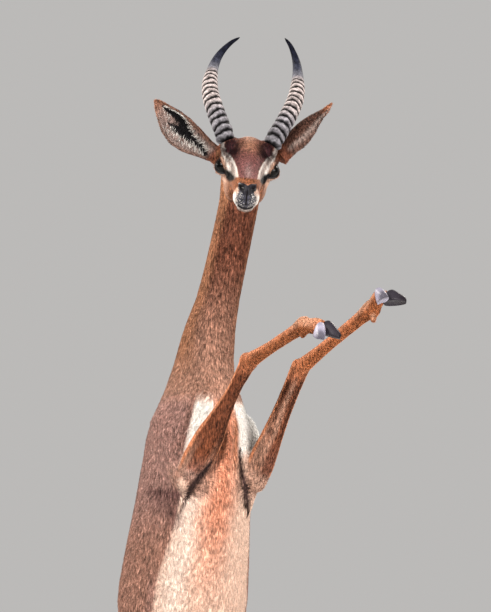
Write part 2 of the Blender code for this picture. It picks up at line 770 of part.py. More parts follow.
def eye_frame(side):
    """Middle of the eyeball, the way the eye looks, and the eye's two directions across."""
    outward = (HEAD_LEFT * side * EYE_GAZE[0] + HEAD_FRONT * EYE_GAZE[1]).normalized()
    low = outward.cross(HEAD_UP).normalized()
    return head_point(side * EYE_SIDE, EYE_BACK, 0), outward, low, low.cross(outward)


def add_lids(head, helpers):
    """A raised rim round each eye, fused to the head."""
    group = new_group("lids")
    for side in (-1, 1):
        mesh = bmesh.new()
        centre, outward, low, high = eye_frame(side)
        rings = []
        count = 18
        for k in range(count):
            angle = 2 * math.pi * k / count
            radial = low * math.cos(angle) + high * math.sin(angle) * LID_FLATTENING
            middle = centre + outward * LID_LIFT + radial * LID_RADIUS
            section = []
            for j in range(5):
                turn = 2 * math.pi * j / 5
                offset = radial.normalized() * math.cos(turn) + outward * math.sin(turn)
                section.append(mesh.verts.new(middle + offset * LID_THICKNESS))
            rings.append(section)
        bridge(mesh, rings + [rings[0]], closed=False)
        new_object("lid", mesh, group, helper=True)
    join_all(head, group)


def nostril_cutter(side, helpers):
    """A comma-shaped pit on each side of the nose."""
    mesh = bmesh.new()
    inner = head_point(side * (NOSTRIL_SIDE - 0.0035), NOSTRIL_FORWARD, NOSTRIL_UP - 0.0015)
    middle = head_point(side * NOSTRIL_SIDE, NOSTRIL_FORWARD - 0.001, NOSTRIL_UP)
    outer = head_point(side * (NOSTRIL_SIDE + 0.006), NOSTRIL_FORWARD - 0.006, NOSTRIL_UP + 0.002)
    halves = [(0.0028, 0.0045), (0.0030, 0.0050), (0.0014, 0.0050)]
    tube(mesh, [inner, middle, outer], halves, HEAD_UP, sides=10)
    return new_object("nostril", mesh, helpers, helper=True)


def mouth_cutter(helpers):
    """A thin blade that follows the muzzle and leaves the line of the mouth."""
    mesh = bmesh.new()
    count = 15
    rings = []
    for k in range(count):
        turn = math.pi * (k / (count - 1) - 0.5)
        forward = MOUTH_BACK + MOUTH_RUN * math.cos(turn)
        side = MOUTH_HALF_WIDTH * math.sin(turn)
        rise = MOUTH_RISE * (1 - math.cos(turn))
        middle = head_point(side, forward, MOUTH_UP + rise)
        outward = (HEAD_LEFT * math.sin(turn) * 0.9 + HEAD_FRONT * math.cos(turn)).normalized()
        outer = middle + outward * MOUTH_DEPTH * 1.25
        inner = middle - outward * MOUTH_DEPTH
        half = HEAD_UP * MOUTH_OPENING / 2
        corners = (outer + half, outer - half, inner - half, inner + half)
        rings.append([mesh.verts.new(corner) for corner in corners])
    bridge(mesh, rings)
    return new_object("mouth", mesh, helpers, helper=True)


def make_horn(name, side, nodes):
    """A ringed horn that leans back and out, then turns up, in and forward to a smooth tip."""
    lean = Matrix.Rotation(HORN_LEAN, 3, -HEAD_FRONT)
    stretch = HORN_STRETCH["left" if side > 0 else "right"]
    points = [head_point(side * s - sway, f * stretch, u * stretch) for s, f, u, _, sway in HORN]
    points = np.array([tuple(HEAD_ORIGIN + lean @ (point - HEAD_ORIGIN)) for point in points])
    keys = np.concatenate([[0], np.cumsum(np.linalg.norm(np.diff(points, axis=0), axis=1))])
    rows = HORN_RINGS * len(HORN_RING_WAVE)
    ringed = np.linspace(0, HORN_RINGED_SHARE, rows, endpoint=False)
    tip = np.linspace(HORN_RINGED_SHARE, 1, 8)
    share = np.concatenate([ringed, tip])
    at = share * keys[-1]
    centres = smooth(keys, points, at)
    radii = smooth(keys, [[horn[3]] for horn in HORN], at)[:, 0]
    wave = np.zeros(len(share))
    wave[:rows] = np.tile(HORN_RING_WAVE, HORN_RINGS)
    radii = radii * (1 + HORN_RING_DEPTH * 0.5 * wave)
    tangents = np.gradient(centres, axis=0)
    mesh = bmesh.new()
    rings = []
    for centre, radius, tangent in zip(centres, radii, tangents):
        along = Vector(tangent).normalized()
        across = (HEAD_LEFT - along * HEAD_LEFT.dot(along)).normalized()
        rings.append(ring(mesh, Vector(centre), across * radius, along.cross(across) * radius, HORN_SIDES))
    bridge(mesh, rings)
    return new_object(name, mesh, nodes)


def make_ear(name, ear, nodes):
    """A cupped leaf, rolled nearly shut at the root and open towards the tip."""
    base, tip = ear["base"], ear["tip"]
    length = (tip - base).length
    along = (tip - base).normalized()
    opening = (ear["opening"] - along * ear["opening"].dot(along)).normalized()
    across = along.cross(opening)
    shares = np.linspace(EAR_ROOT, 1, EAR_ROWS)
    keys, widths = zip(*EAR_WIDTH)
    halves = np.interp(shares, keys, widths) * (1 - ear["slimmer"] * np.interp(shares, EAR_SLIM_FROM, (0, 1)))
    mesh = bmesh.new()
    grid = []
    for share, half in zip(shares, halves):
        spread = math.radians(EAR_SPREAD_ROOT - EAR_SPREAD_LOST * max(0, share) ** 0.8)
        radius = half / math.sin(min(spread, math.pi / 2))
        bulge = EAR_DEPTH * math.sin(math.pi * min(1, max(0.08, share + 0.15)) * 0.86)
        bow = ear["bow"] * math.sin(math.pi * max(0, share))
        middle = base + along * (share * length) + opening * (radius - bulge) - across * bow
        row = []
        for k in range(EAR_COLUMNS + 1):
            turn = spread * (2 * k / EAR_COLUMNS - 1)
            place = middle + across * radius * math.sin(turn) - opening * radius * math.cos(turn)
            row.append(mesh.verts.new(place))
        grid.append(row)
    for low, high in zip(grid, grid[1:]):
        for k in range(EAR_COLUMNS):
            mesh.faces.new((low[k], low[k + 1], high[k]))
            mesh.faces.new((low[k + 1], high[k + 1], high[k]))
    made = new_object(name, mesh, nodes)
    wall = made.modifiers.new("Solidify", "SOLIDIFY")
    wall.thickness = EAR_THICKNESS
    wall.offset = 0
    apply_modifiers(made)
    return made


def make_eye(name, side, nodes):
    mesh = bmesh.new()
    centre = head_point(side * EYE_SIDE, EYE_BACK, 0)
    turn = Matrix((HEAD_FRONT, HEAD_UP, HEAD_LEFT)).transposed().to_4x4()
    bmesh.ops.create_uvsphere(
        mesh, u_segments=16, v_segments=10, radius=EYE_RADIUS, matrix=Matrix.Translation(centre) @ turn
    )
    return new_object(name, mesh, nodes)


def make_tail(nodes, torso, helpers):
    """A thin hanging tail with a tuft of flat tapered locks at its end."""
    mesh = bmesh.new()
    points = [hip_point(0, forward, height) for forward, height, _ in TAIL]
    tube(mesh, points, [(radius, radius) for _, _, radius in TAIL], LEFT, sides=10, step=0.02)
    tail = new_object("tail", mesh, nodes)
    group = new_group("tail_locks")
    rng = np.random.default_rng(5)
    for k in range(TAIL_LOCKS):
        turn = TAIL_LOCK_TURN * k
        out = LEFT * math.cos(turn) + FRONT * math.sin(turn)
        side = LEFT * -math.sin(turn) + FRONT * math.cos(turn)
        height = TAIL_LOCK_TOP - TAIL_LOCK_SPAN * k / TAIL_LOCKS
        root = hip_point(0, TAIL[3][0], height) + out * 0.0025
        length = TAIL_LOCK_LENGTH * rng.uniform(0.85, 1.15)
        down = Vector((0, 0, -1))
        lock = bmesh.new()
        path = [root + down * length * share + out * lift for share, lift in TAIL_LOCK_LIE]
        halves = [(TAIL_LOCK_WIDTH * wide, thick) for wide, thick in TAIL_LOCK_SHAPE]
        tube(lock, path, halves, side, sides=6, step=0.036, cap=1)
        new_object("lock", lock, group, helper=True)
    join_all(tail, group)
    cut_clear(tail, torso, helpers)
    return tail


def make_base(nodes):
    """A flat plate with rounded corners that the hind hooves stand on."""
    mesh = bmesh.new()
    outline = []
    for corner, (sx, sy) in enumerate(((1, 1), (-1, 1), (-1, -1), (1, -1))):
        for k in range(7):
            turn = math.pi / 2 * (corner + k / 6)
            x = sx * (BASE_WIDTH / 2 - BASE_CORNER) + BASE_CORNER * math.cos(turn)
            y = sy * (BASE_DEPTH / 2 - BASE_CORNER) + BASE_CORNER * math.sin(turn)
            outline.append(mesh.verts.new((x, y, 0)))
    face = mesh.faces.new(outline)
    raised = bmesh.ops.extrude_face_region(mesh, geom=[face])
    top = [item for item in raised["geom"] if isinstance(item, bmesh.types.BMVert)]
    bmesh.ops.translate(mesh, verts=top, vec=(0, 0, BASE_HEIGHT))
    base = new_object("stand_base", mesh, nodes)
    edge = base.modifiers.new("Bevel", "BEVEL")
    edge.width = BASE_BEVEL
    edge.segments = 2
    edge.limit_method = "ANGLE"
    edge.angle_limit = math.radians(60)
    apply_modifiers(base)
    return base


def paint(made, slot):
    colour, roughness = COLOURS[slot]
    material = bpy.data.materials.get(slot) or bpy.data.materials.new(slot)
    material.use_nodes = True
    shader = material.node_tree.nodes["Principled BSDF"]
    shader.inputs["Base Color"].default_value = colour
    shader.inputs["Roughness"].default_value = roughness
    shader.inputs["Metallic"].default_value = 0
    made.data.materials.clear()
    made.data.materials.append(material)
    made.data.shade_smooth()
    made.data.set_sharp_from_angle(angle=math.radians(50))


def main():
    for made in list(bpy.data.objects):
        bpy.data.objects.remove(made)
    nodes = bpy.data.collections.new(SOLID_NAME)
    helpers = bpy.data.collections.new("cutters")
    bpy.context.scene.collection.children.link(nodes)
    bpy.context.scene.collection.children.link(helpers)

    torso, neck, hind_legs = make_body(nodes, helpers)
    head, cut_point, along = make_head(nodes, helpers)
    below = cut_point - along * GAP
    region = disc_region("head_wider", below, along, HEAD_CUT_RADIUS, HEAD_CUT_RUN, helpers)
    boolean(neck, "DIFFERENCE", region)
    remove(region)
    slots = {head: "coat", neck: "coat", torso: "chest"}

    for name, side in (("right", -1), ("left", 1)):
        upper, lower = make_foreleg(name, FORELEGS[name], nodes, helpers)
        cut_clear(torso, upper, helpers)
        slots[upper] = "leg"
        slots[lower] = "leg"
        hooves = []
        for place, claw in zip(("outer", "inner"), FORELEGS[name]["claws"]):
            start = claw["coronet"] + claw["along"].normalized() * CORONET_TO_CLAW
            sizes = (CLAW_LENGTH, CLAW_HEIGHT, CLAW_HALF_WIDTH)
            hoof = make_claw(f"hoof_fore_{name}_{place}", start, claw["along"], claw["up"], *sizes, nodes)
            slots[hoof] = "hoof"
            hooves.append(hoof)
        first, second = hooves
        cut_clear(second, first, helpers)
        cut_clear(lower, first, helpers)
        cut_clear(lower, second, helpers)

        upper, lower = hind_legs[name]
        slots[upper] = "leg"
        slots[lower] = "leg"
        for place, toe in (("outer", 1), ("inner", -1)):
            inner = side * (HIND_LEG[-1][0] + toe * HIND_CLAW_SIDE)
            start = hip_point(inner, HIND_CORONET_FORWARD, SOLE + HIND_CLAW_HEIGHT / 2)
            sizes = (HIND_CLAW_LENGTH, HIND_CLAW_HEIGHT, CLAW_HALF_WIDTH)
            hoof = make_claw(f"hoof_hind_{name}_{place}", start, FRONT, Vector((0, 0, 1)), *sizes, nodes)
            slots[hoof] = "hoof"
            cut_clear(lower, hoof, helpers)

        horn = make_horn(f"horn_{name}", side, nodes)
        ear = make_ear(f"ear_{name}", EARS[name], nodes)
        eye = make_eye(f"eye_{name}", side, nodes)
        cut_clear(head, eye, helpers)
        cut_clear(horn, head, helpers)
        cut_clear(ear, head, helpers)
        slots[horn] = "horn"
        slots[ear] = "ear"
        slots[eye] = "eye"

    tail = make_tail(nodes, torso, helpers)
    slots[tail] = "tail"
    slots[make_base(nodes)] = "wood"
    for made, slot in slots.items():
        paint(made, slot)
    for made in list(helpers.objects):
        bpy.data.objects.remove(made)


main()
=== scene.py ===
"""Looks of the rearing gerenuk: one skin under a coat of short tufts, ringed horns, glossy eyes and hooves.

Metres, +Z up, in the frame of the solids. The face looks along -Y and the animal's left side is at +X.
"""

import json
import math

import bpy
import numpy as np
from mathutils import Matrix, Vector

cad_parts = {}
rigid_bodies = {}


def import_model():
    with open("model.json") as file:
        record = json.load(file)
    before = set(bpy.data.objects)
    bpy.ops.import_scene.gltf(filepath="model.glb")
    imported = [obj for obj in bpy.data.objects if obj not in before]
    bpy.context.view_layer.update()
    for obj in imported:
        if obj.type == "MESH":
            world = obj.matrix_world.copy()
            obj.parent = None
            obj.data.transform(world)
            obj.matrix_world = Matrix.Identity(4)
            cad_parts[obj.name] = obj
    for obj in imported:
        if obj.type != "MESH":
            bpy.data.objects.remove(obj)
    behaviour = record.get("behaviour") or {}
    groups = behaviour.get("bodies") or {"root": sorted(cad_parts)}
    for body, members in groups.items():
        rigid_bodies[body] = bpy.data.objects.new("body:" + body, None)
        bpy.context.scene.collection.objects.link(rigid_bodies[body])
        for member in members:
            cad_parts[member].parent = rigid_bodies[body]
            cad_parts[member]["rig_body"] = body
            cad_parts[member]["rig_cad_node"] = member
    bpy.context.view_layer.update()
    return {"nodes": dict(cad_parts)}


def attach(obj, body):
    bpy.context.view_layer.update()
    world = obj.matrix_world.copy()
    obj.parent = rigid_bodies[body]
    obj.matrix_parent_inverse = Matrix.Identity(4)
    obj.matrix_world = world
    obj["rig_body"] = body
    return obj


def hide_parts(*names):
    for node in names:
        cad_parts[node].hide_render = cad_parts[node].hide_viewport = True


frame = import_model()
bpy.ops.object.select_all(action="DESELECT")

SIDES = {"right": -1, "left": 1}
FLESH = ["head", "neck", "torso", "eye_right", "eye_left"]
for limb in ("foreleg", "hind_leg"):
    for which in SIDES:
        FLESH += [f"{limb}_{which}_upper", f"{limb}_{which}_lower"]

# Trunk and neck
TRUNK_YAW = math.radians(18)
FRONT = np.array([math.sin(TRUNK_YAW), -math.cos(TRUNK_YAW), 0])
LEFT = np.array([math.cos(TRUNK_YAW), math.sin(TRUNK_YAW), 0])
UP = np.array([0, 0, 1.0])
HIP_CENTRE = np.array([-0.035, 0.030, 0.79])
CHEST_CENTRE = np.array([0.018, -0.010, 1.344])
# height, how far the section's middle lies in front of the spine line, half depth, half width
TRUNK = np.array([
    (0.770, -0.022, 0.078, 0.074),
    (0.88, -0.016, 0.106, 0.094),
    (1.03, 0.008, 0.119, 0.113),
    (1.19, 0.018, 0.143, 0.097),
    (1.27, 0.021, 0.146, 0.090),
    (1.368, 0.012, 0.125, 0.073),
])
# x, y, z of the neck's middle and its half width
NECK = np.array([
    (0.0265, -0.020, 1.405, 0.0600),
    (0.0380, -0.020, 1.498, 0.0450),
    (0.0525, -0.020, 1.557, 0.0380),
    (0.0735, -0.024, 1.650, 0.0355),
    (0.0900, -0.034, 1.729, 0.0350),
    (0.0975, -0.046, 1.775, 0.0360),
])

# Head: its frame is at the middle of the eyes
HEAD_YAW = math.radians(1.5)
HEAD_ROLL = math.radians(5.5)
HEAD_ORIGIN = np.array([0.105, -0.100, 1.792])
HEAD_FRONT = np.array([math.sin(HEAD_YAW), -math.cos(HEAD_YAW), 0])
HEAD_UP = np.array([math.sin(HEAD_ROLL), 0, math.cos(HEAD_ROLL)])
HEAD_LEFT = np.cross(HEAD_UP, HEAD_FRONT)
HEAD_AXES = np.array([HEAD_LEFT, HEAD_FRONT, HEAD_UP])
EYE_RADIUS = 0.0150
EYE_SIDE = 0.0400
EYE_BACK = -0.002
EYE_GAZE = (0.80, 0.60)
# the lids' opening: half length and half height of its almond, and the reach of its inner corner, in degrees
ALMOND = (64, 34)
ALMOND_SLANT = math.radians(50)
ALMOND_CORNER = 8

# Horns: sideways, forward and up from the head's frame, radius, and how far both sway to the animal's right
HORN = np.array([
    (0.0400, -0.006, 0.040, 0.0156, 0.0030),
    (0.0445, -0.014, 0.056, 0.0162, 0.0030),
    (0.0530, -0.026, 0.073, 0.0160, 0.0036),
    (0.0640, -0.045, 0.097, 0.0157, 0.0044),
    (0.0730, -0.068, 0.120, 0.0148, 0.0050),
    (0.0765, -0.092, 0.141, 0.0134, 0.0052),
    (0.0758, -0.115, 0.160, 0.0108, 0.0050),
    (0.0730, -0.133, 0.178, 0.0086, 0.0044),
    (0.0680, -0.143, 0.194, 0.0068, 0.0036),
    (0.0600, -0.146, 0.209, 0.0050, 0.0025),
    (0.0510, -0.143, 0.221, 0.0036, 0.0013),
    (0.0390, -0.136, 0.2315, 0.0016, 0.0002),
])
HORN_RINGS = 13
HORN_RINGED_SHARE = 0.66
HORN_LEAN = math.radians(2.0)
HORN_STRETCH = {"right": 0.985, "left": 1.025}

# Ears: half width along the length, as share of the length and metres
EAR_WIDTH = np.array([
    (0, 0.0130), (0.15, 0.0165), (0.35, 0.0245), (0.52, 0.0275),
    (0.68, 0.0240), (0.82, 0.0155), (0.92, 0.0090), (1, 0.0012),
])
EAR_THICKNESS = 0.0020
EARS = {
    "right": {
        "base": (0.0520, -0.056, 1.8150),
        "tip": (-0.0560, -0.060, 1.9110),
        "opening": (-0.05, -1, -0.12),
        "bow": 0.0105,
        "slimmer": 0,
    },
    "left": {
        "base": (0.1640, -0.052, 1.8180),
        "tip": (0.2555, 0.012, 1.9020),
        "opening": (0.55, 0.62, -0.55),
        "bow": 0,
        "slimmer": 0.42,
    },
}

# Legs
FORELEGS = {
    "right": {
        "shoulder": (-0.024, -0.046, 1.338),
        "elbow": (0.0010, -0.150, 1.250),
        "carpus": (0.1070, -0.233, 1.4555),
        "fetlock": (0.2020, -0.425, 1.5185),
        "claws": (
            ((0.2245, -0.446, 1.5195), (0.86, -0.36, -0.24), (0.33, 0.1, 0.9)),
            ((0.2270, -0.458, 1.5150), (0.10, -0.95, -0.16), (0.16, -0.16, 0.95)),
        ),
    },
    "left": {
        "shoulder": (0.0820, -0.030, 1.330),
        "elbow": (0.1150, -0.112, 1.246),
        "carpus": (0.1965, -0.150, 1.4440),
        "fetlock": (0.3195, -0.312, 1.5475),
        "claws": (
            ((0.3340, -0.330, 1.5670), (0.90, -0.30, 0.05), (0.20, 0.45, 0.87)),
            ((0.3305, -0.342, 1.5665), (0.12, -0.92, 0.24), (-0.36, 0.22, 0.90)),
        ),
    },
}
# sideways, forward, height and radius of the hind leg's joints
HIND_LEG = np.array([
    (0.050, -0.020, 0.870, 0.095),
    (0.089, 0.040, 0.605, 0.045),
    (0.097, -0.026, 0.365, 0.020),
    (0.100, 0.000, 0.115, 0.015),
    (0.100, 0.034, 0.068, 0.014),
])
CLAW_LENGTH = 0.036
CORONET_TO_CLAW = 0.012
CLAW_HALF_WIDTH = 0.0098
CLAW_HEIGHT = 0.0260
HIND_CLAW_LENGTH = 0.051
HIND_CLAW_HEIGHT = 0.036
HIND_CLAW_SIDE = 0.0102
HIND_CORONET_FORWARD = 0.040
# share of the claw's length, and height and width as shares of the largest
CLAW_PROFILE = np.array([
    (-0.20, 0.30, 0.45), (-0.12, 0.60, 0.72), (0.0, 0.86, 0.92), (0.2, 1.0, 1.0), (0.45, 0.86, 0.98),
    (0.7, 0.62, 0.84), (0.9, 0.42, 0.58), (1.0, 0.28, 0.36),
])
SOLE = 0.0303

# Tail: forward, height and radius
TAIL = np.array([
    (-0.060, 0.848, 0.0150),
    (-0.112, 0.835, 0.0125),
    (-0.134, 0.795, 0.0098),
    (-0.142, 0.735, 0.0080),
    (-0.143, 0.675, 0.0070),
    (-0.141, 0.625, 0.0056),
    (-0.140, 0.595, 0.0030),
])

# Skin
SKIN_SWELL = 0.0004
SKIN_VOXEL = 0.0024
SKIN_BODY_KEPT = 0.34
NOSE_FROM = 0.100
LID_GAP = 0.0004
LID_THICKNESS = 0.0021
LID_SUNK = 0.0022

# Colours of the coat, as linear values. Some stand in for light: the pale rims along the neck and legs are
# painted rim light and the leg sheen is a painted sheen; the shade tones, the forelegs' shaded side and part
# of their dark tone are painted shade.
TONES = {
    "neck_top": (0.165, 0.058, 0.034),
    "neck_foot": (0.44, 0.24, 0.17),
    "neck_rim_light": (0.42, 0.19, 0.10),
    "saddle": (0.17, 0.075, 0.045),
    "flank": (0.39, 0.205, 0.150),
    "shoulder_crease_shade": (0.16, 0.078, 0.070),
    "tuft": (0.62, 0.44, 0.35),
    "crown": (0.56, 0.28, 0.18),
    "shoulder": (0.38, 0.215, 0.180),
    "buff": (0.48, 0.30, 0.20),
    "white": (0.90, 0.86, 0.81),
    "cream": (0.76, 0.54, 0.43),
    "salmon": (0.68, 0.27, 0.155),
    "stripe": (0.46, 0.17, 0.08),
    "leg": (0.135, 0.042, 0.019),
    "leg_rim": (0.55, 0.22, 0.11),
    "leg_sheen": (0.33, 0.185, 0.130),
    "leg_pale": (0.50, 0.27, 0.17),
    "leg_dark": (0.035, 0.014, 0.009),
    "leg_rough": (0.155, 0.060, 0.038),
    "cannon": (0.27, 0.090, 0.035),
    "foot": (0.46, 0.235, 0.145),
    "shade": (0.035, 0.018, 0.016),
    "cheek": (0.30, 0.115, 0.055),
    "blaze": (0.27, 0.110, 0.105),
    "brow": (0.022, 0.005, 0.007),
    "grey": (0.33, 0.255, 0.225),
    "lips": (0.028, 0.028, 0.040),
    "black": (0.004, 0.003, 0.004),
    "ear_back": (0.105, 0.048, 0.034),
    "ear_hair": (0.225, 0.170, 0.155),
}
TONES = {name: np.array(tone) for name, tone in TONES.items()}


def unit(v):
    return v / np.maximum(np.linalg.norm(v, axis=-1, keepdims=True), 1e-9)


def ease(low, high, x):
    """0 below low, 1 above high, smooth between; falling where low is above high."""
    t = np.clip((x - low) / (high - low), 0, 1)
    return t * t * (3 - 2 * t)


def hump(x, middle, half):
    return np.exp(-(((x - middle) / half) ** 2))


def smooth(keys, values, at):
    """Cubic curve through the values at the keys, read at other keys."""
    keys, values = np.asarray(keys, float), np.asarray(values, float)
    slopes = np.gradient(values, keys, axis=0)
    low = np.clip(np.searchsorted(keys, at, side="right") - 1, 0, len(keys) - 2)
    span = (keys[low + 1] - keys[low])[:, None]
    t = (at - keys[low])[:, None] / span
    start = (2 * t**3 - 3 * t**2 + 1) * values[low] + (t**3 - 2 * t**2 + t) * span * slopes[low]
    return start + (3 * t**2 - 2 * t**3) * values[low + 1] + (t**3 - t**2) * span * slopes[low + 1]


def ripple(points, scale, seed):
    """Smooth noise from about -1 to 1, a sum of waves in seeded directions."""
    rng = np.random.default_rng(seed)
    total = np.zeros(len(points))
    for _ in range(7):
        wave = rng.normal(size=3) * scale
        total += np.sin(points @ wave + rng.uniform(0, 2 * math.pi))
    return total / 3.5


def head_point(side, forward, up):
    return HEAD_ORIGIN + side * HEAD_LEFT + forward * HEAD_FRONT + up * HEAD_UP


def in_head(points):
    """Sideways, forward and up in the head's frame."""
    return ((points - HEAD_ORIGIN) @ np.linalg.inv(HEAD_AXES)).T


def trunk_point(side, forward, height):
    share = (height - HIP_CENTRE[2]) / (CHEST_CENTRE[2] - HIP_CENTRE[2])
    point = HIP_CENTRE + (CHEST_CENTRE - HIP_CENTRE) * share + LEFT * side + FRONT * forward
    point[2] = height
    return point


def hip_point(side, forward, height):
    point = HIP_CENTRE + LEFT * side + FRONT * forward
    point[2] = height
    return point


def on_tail(share):
    """Points of the tail's middle line."""
    return smooth(np.linspace(0, 1, len(TAIL)), [hip_point(0, s[0], s[1]) for s in TAIL], share)


def around_trunk(points):
    """Degrees round the trunk from the middle of the belly, more than 0 on the animal's left."""
    height = points[:, 2]
    share = (height - HIP_CENTRE[2]) / (CHEST_CENTRE[2] - HIP_CENTRE[2])
    middle = HIP_CENTRE + np.clip(share, 0, 1.1)[:, None] * (CHEST_CENTRE - HIP_CENTRE)
    away = points - middle
    forward = away @ FRONT - np.interp(height, TRUNK[:, 0], TRUNK[:, 1])
    deep = np.interp(height, TRUNK[:, 0], TRUNK[:, 2])
    wide = np.interp(height, TRUNK[:, 0], TRUNK[:, 3])
    return np.degrees(np.arctan2(away @ LEFT / wide, forward / deep))


def eye_frame(side):
    """Middle of the eyeball, the way it looks, and its directions towards the nose and up."""
    outward = unit(HEAD_LEFT * side * EYE_GAZE[0] + HEAD_FRONT * EYE_GAZE[1])
    ahead = unit(np.cross(outward, HEAD_UP)) * side
    return head_point(side * EYE_SIDE, EYE_BACK, 0), outward, ahead, np.cross(ahead, outward) * -side


def eye_opening(turn):
    """Degrees from the way the eye looks to the lids' edge. The almond slants down towards the nose."""
    slant = turn - ALMOND_SLANT
    oval = ((np.cos(slant) / ALMOND[0]) ** 2 + (np.sin(slant) / ALMOND[1]) ** 2) ** -0.5
    return oval + ALMOND_CORNER * np.maximum(np.cos(slant), 0) ** 8


def ear_frame(which):
    ear = EARS[which]
    base, tip = np.array(ear["base"]), np.array(ear["tip"])
    along = unit(tip - base)
    opening = np.array(ear["opening"], float)
    opening = unit(opening - along * (opening @ along))
    return base, along, opening, np.cross(along, opening), np.linalg.norm(tip - base)


def ear_half(which, share):
    slim = EARS[which]["slimmer"] * np.interp(share, (0.25, 0.70), (0, 1))
    return np.interp(share, EAR_WIDTH[:, 0], EAR_WIDTH[:, 1]) * (1 - slim)


def ear_section(which, share):
    """Middle of the ear's cupped wall, its radius and how far round it runs to each side."""
    base, along, opening, across, length = ear_frame(which)
    half = ear_half(which, share)
    spread = np.radians(118 - 66 * np.clip(share, 0, 1) ** 0.8)
    radius = half / np.sin(np.minimum(spread, math.pi / 2))
    bulge = 0.016 * np.sin(math.pi * np.clip(share + 0.15, 0.08, 1) * 0.86)
    bow = EARS[which]["bow"] * np.sin(math.pi * np.clip(share, 0, 1))
    middle = base + np.outer(share * length, along) + np.outer(radius - bulge, opening)
    return middle - np.outer(bow, across), radius, spread


def on_ear(which, share, turn, out):
    """A point of the ear's wall and the way out of the cup there. turn is 0 on its middle line."""
    _, _, opening, across, _ = ear_frame(which)
    middle, radius, _ = ear_section(which, share)
    outward = np.outer(np.sin(turn), across) - np.outer(np.cos(turn), opening)
    return middle + (radius + out)[:, None] * outward, outward


# Bones: region, ends and radii. Hair lies from the first end to the second
def bones():
    made = []

    def chain(region, points, radii):
        for start, end, thick, thin in zip(points, points[1:], radii, radii[1:]):
            made.append((region, np.array(start), np.array(end), thick, thin))

    chain("head", [head_point(0, 0.125, -0.045), head_point(0, 0.0, 0.0)], [0.022, 0.042])
    chain("head", [head_point(0, 0.0, 0.0), head_point(0, -0.060, -0.012)], [0.045, 0.045])
    neck = [head_point(0, -0.060, -0.020)] + [s[:3] for s in NECK[::-1]]
    chain("neck", neck, [0.038] + [s[3] for s in NECK[::-1]])
    spine = [NECK[0][:3]] + [trunk_point(0, s[1], s[0]) for s in TRUNK[::-1]]
    chain("trunk", spine, [0.070] + [(s[2] + s[3]) / 2 for s in TRUNK[::-1]])
    for which, side in SIDES.items():
        leg = FORELEGS[which]
        chain("shoulder_" + which, [leg["shoulder"], leg["elbow"]], [0.044, 0.027])
        joints = [leg["elbow"], leg["carpus"], leg["fetlock"]]
        chain("foreleg_" + which, joints, [0.026, 0.0155, 0.0145])
        for claw in leg["claws"]:
            chain("foreleg_" + which, [leg["fetlock"], claw[0]], [0.0145, 0.012])
        hind = [hip_point(side * s[0], s[1], s[2]) for s in HIND_LEG]
        chain("hind_leg_" + which, hind, HIND_LEG[:, 3])
        base, along, _, _, length = ear_frame(which)
        chain("ear_" + which, [base + along * 0.018, base + along * length], [0.012, 0.016])
    chain("tail", [hip_point(0, s[0], s[1]) for s in TAIL], TAIL[:, 2])
    return made


BONES = bones()
REGIONS = sorted(set(bone[0] for bone in BONES))


def read_bones(points):
    """For each point: the way the hair lies there, and how much it belongs to each region."""
    gaps = np.empty((len(BONES), len(points)))
    for k, (_, start, end, thick, thin) in enumerate(BONES):
        run = end - start
        share = np.clip((points - start) @ run / (run @ run), 0, 1)
        away = np.linalg.norm(points - start - share[:, None] * run, axis=1)
        gaps[k] = away - (thick + (thin - thick) * share)
    reach = 0.010
    weights = np.exp(-(gaps - gaps.min(0)) / reach)
    weights /= weights.sum(0)
    lie = np.zeros_like(points)
    belongs = {region: np.zeros(len(points)) for region in REGIONS}
    for weight, (region, start, end, _, _) in zip(weights, BONES):
        lie += weight[:, None] * unit(end - start)
        belongs[region] += weight
    return unit(lie), belongs


def select_only(piece):
    bpy.ops.object.select_all(action="DESELECT")
    piece.select_set(True)
    bpy.context.view_layer.objects.active = piece


def modify(piece, kind, **settings):
    """Adds a modifier with its settings and applies it."""
    select_only(piece)
    made = piece.modifiers.new(kind, kind)
    for name, value in settings.items():
        setattr(made, name, value)
    bpy.ops.object.modifier_apply(modifier=made.name)


def places(piece):
    found = np.empty(len(piece.data.vertices) * 3)
    piece.data.vertices.foreach_get("co", found)
    return found.reshape(-1, 3)


def set_places(piece, points):
    piece.data.vertices.foreach_set("co", np.ascontiguousarray(points, np.float32).ravel())
    piece.data.update()


def normals(piece):
    found = np.empty(len(piece.data.vertices) * 3, np.float32)
    piece.data.vertices.foreach_get("normal", found)
    return found.reshape(-1, 3).astype(float)


def edit_all(step, **settings):
    """Runs a mesh operator on the whole of the active object."""
    bpy.ops.object.mode_set(mode="EDIT")
    bpy.ops.mesh.select_all(action="SELECT")
    step(**settings)
    bpy.ops.object.mode_set(mode="OBJECT")


def wrapped(name, sides, rows, place):
    """A closed surface: a sphere whose every vertex goes where place(share from pole to pole, turn) says."""
    bpy.ops.mesh.primitive_uv_sphere_add(segments=sides, ring_count=rows, radius=1, location=(0, 0, 0))
    piece = bpy.context.object
    piece.name = piece.data.name = name
    start = places(piece)
    share = np.arccos(np.clip(start[:, 2], -1, 1)) / math.pi
    set_places(piece, place(share, np.arctan2(start[:, 1], start[:, 0])))
    edit_all(bpy.ops.mesh.normals_make_consistent, inside=False)
    bpy.ops.object.shade_smooth()
    return piece


def paint(piece, name, values):
    """Stores a colour for each vertex."""
    layer = piece.data.color_attributes.new(name, "FLOAT_COLOR", "POINT")
    full = np.ones((len(values), 4), np.float32)
    full[:, : values.shape[1]] = values
    layer.data.foreach_set("color", full.ravel())


def note(piece, name, values):
    """Stores a number for each vertex."""
    layer = piece.data.attributes.new(name, "FLOAT", "POINT")
    layer.data.foreach_set("value", np.asarray(values, np.float32))


# Skin
def ear_shape(which):
    def place(share, turn):
        at = -0.06 + 1.06 * share
        _, _, spread = ear_section(which, at)
        side = np.sign(np.sin(turn)) * np.sqrt(np.abs(np.sin(turn)))
        wall = EAR_THICKNESS / 2 * np.minimum(1, (1.06 - at) * 6) * side
        return on_ear(which, at, spread * -np.cos(turn), wall)[0]

    return place


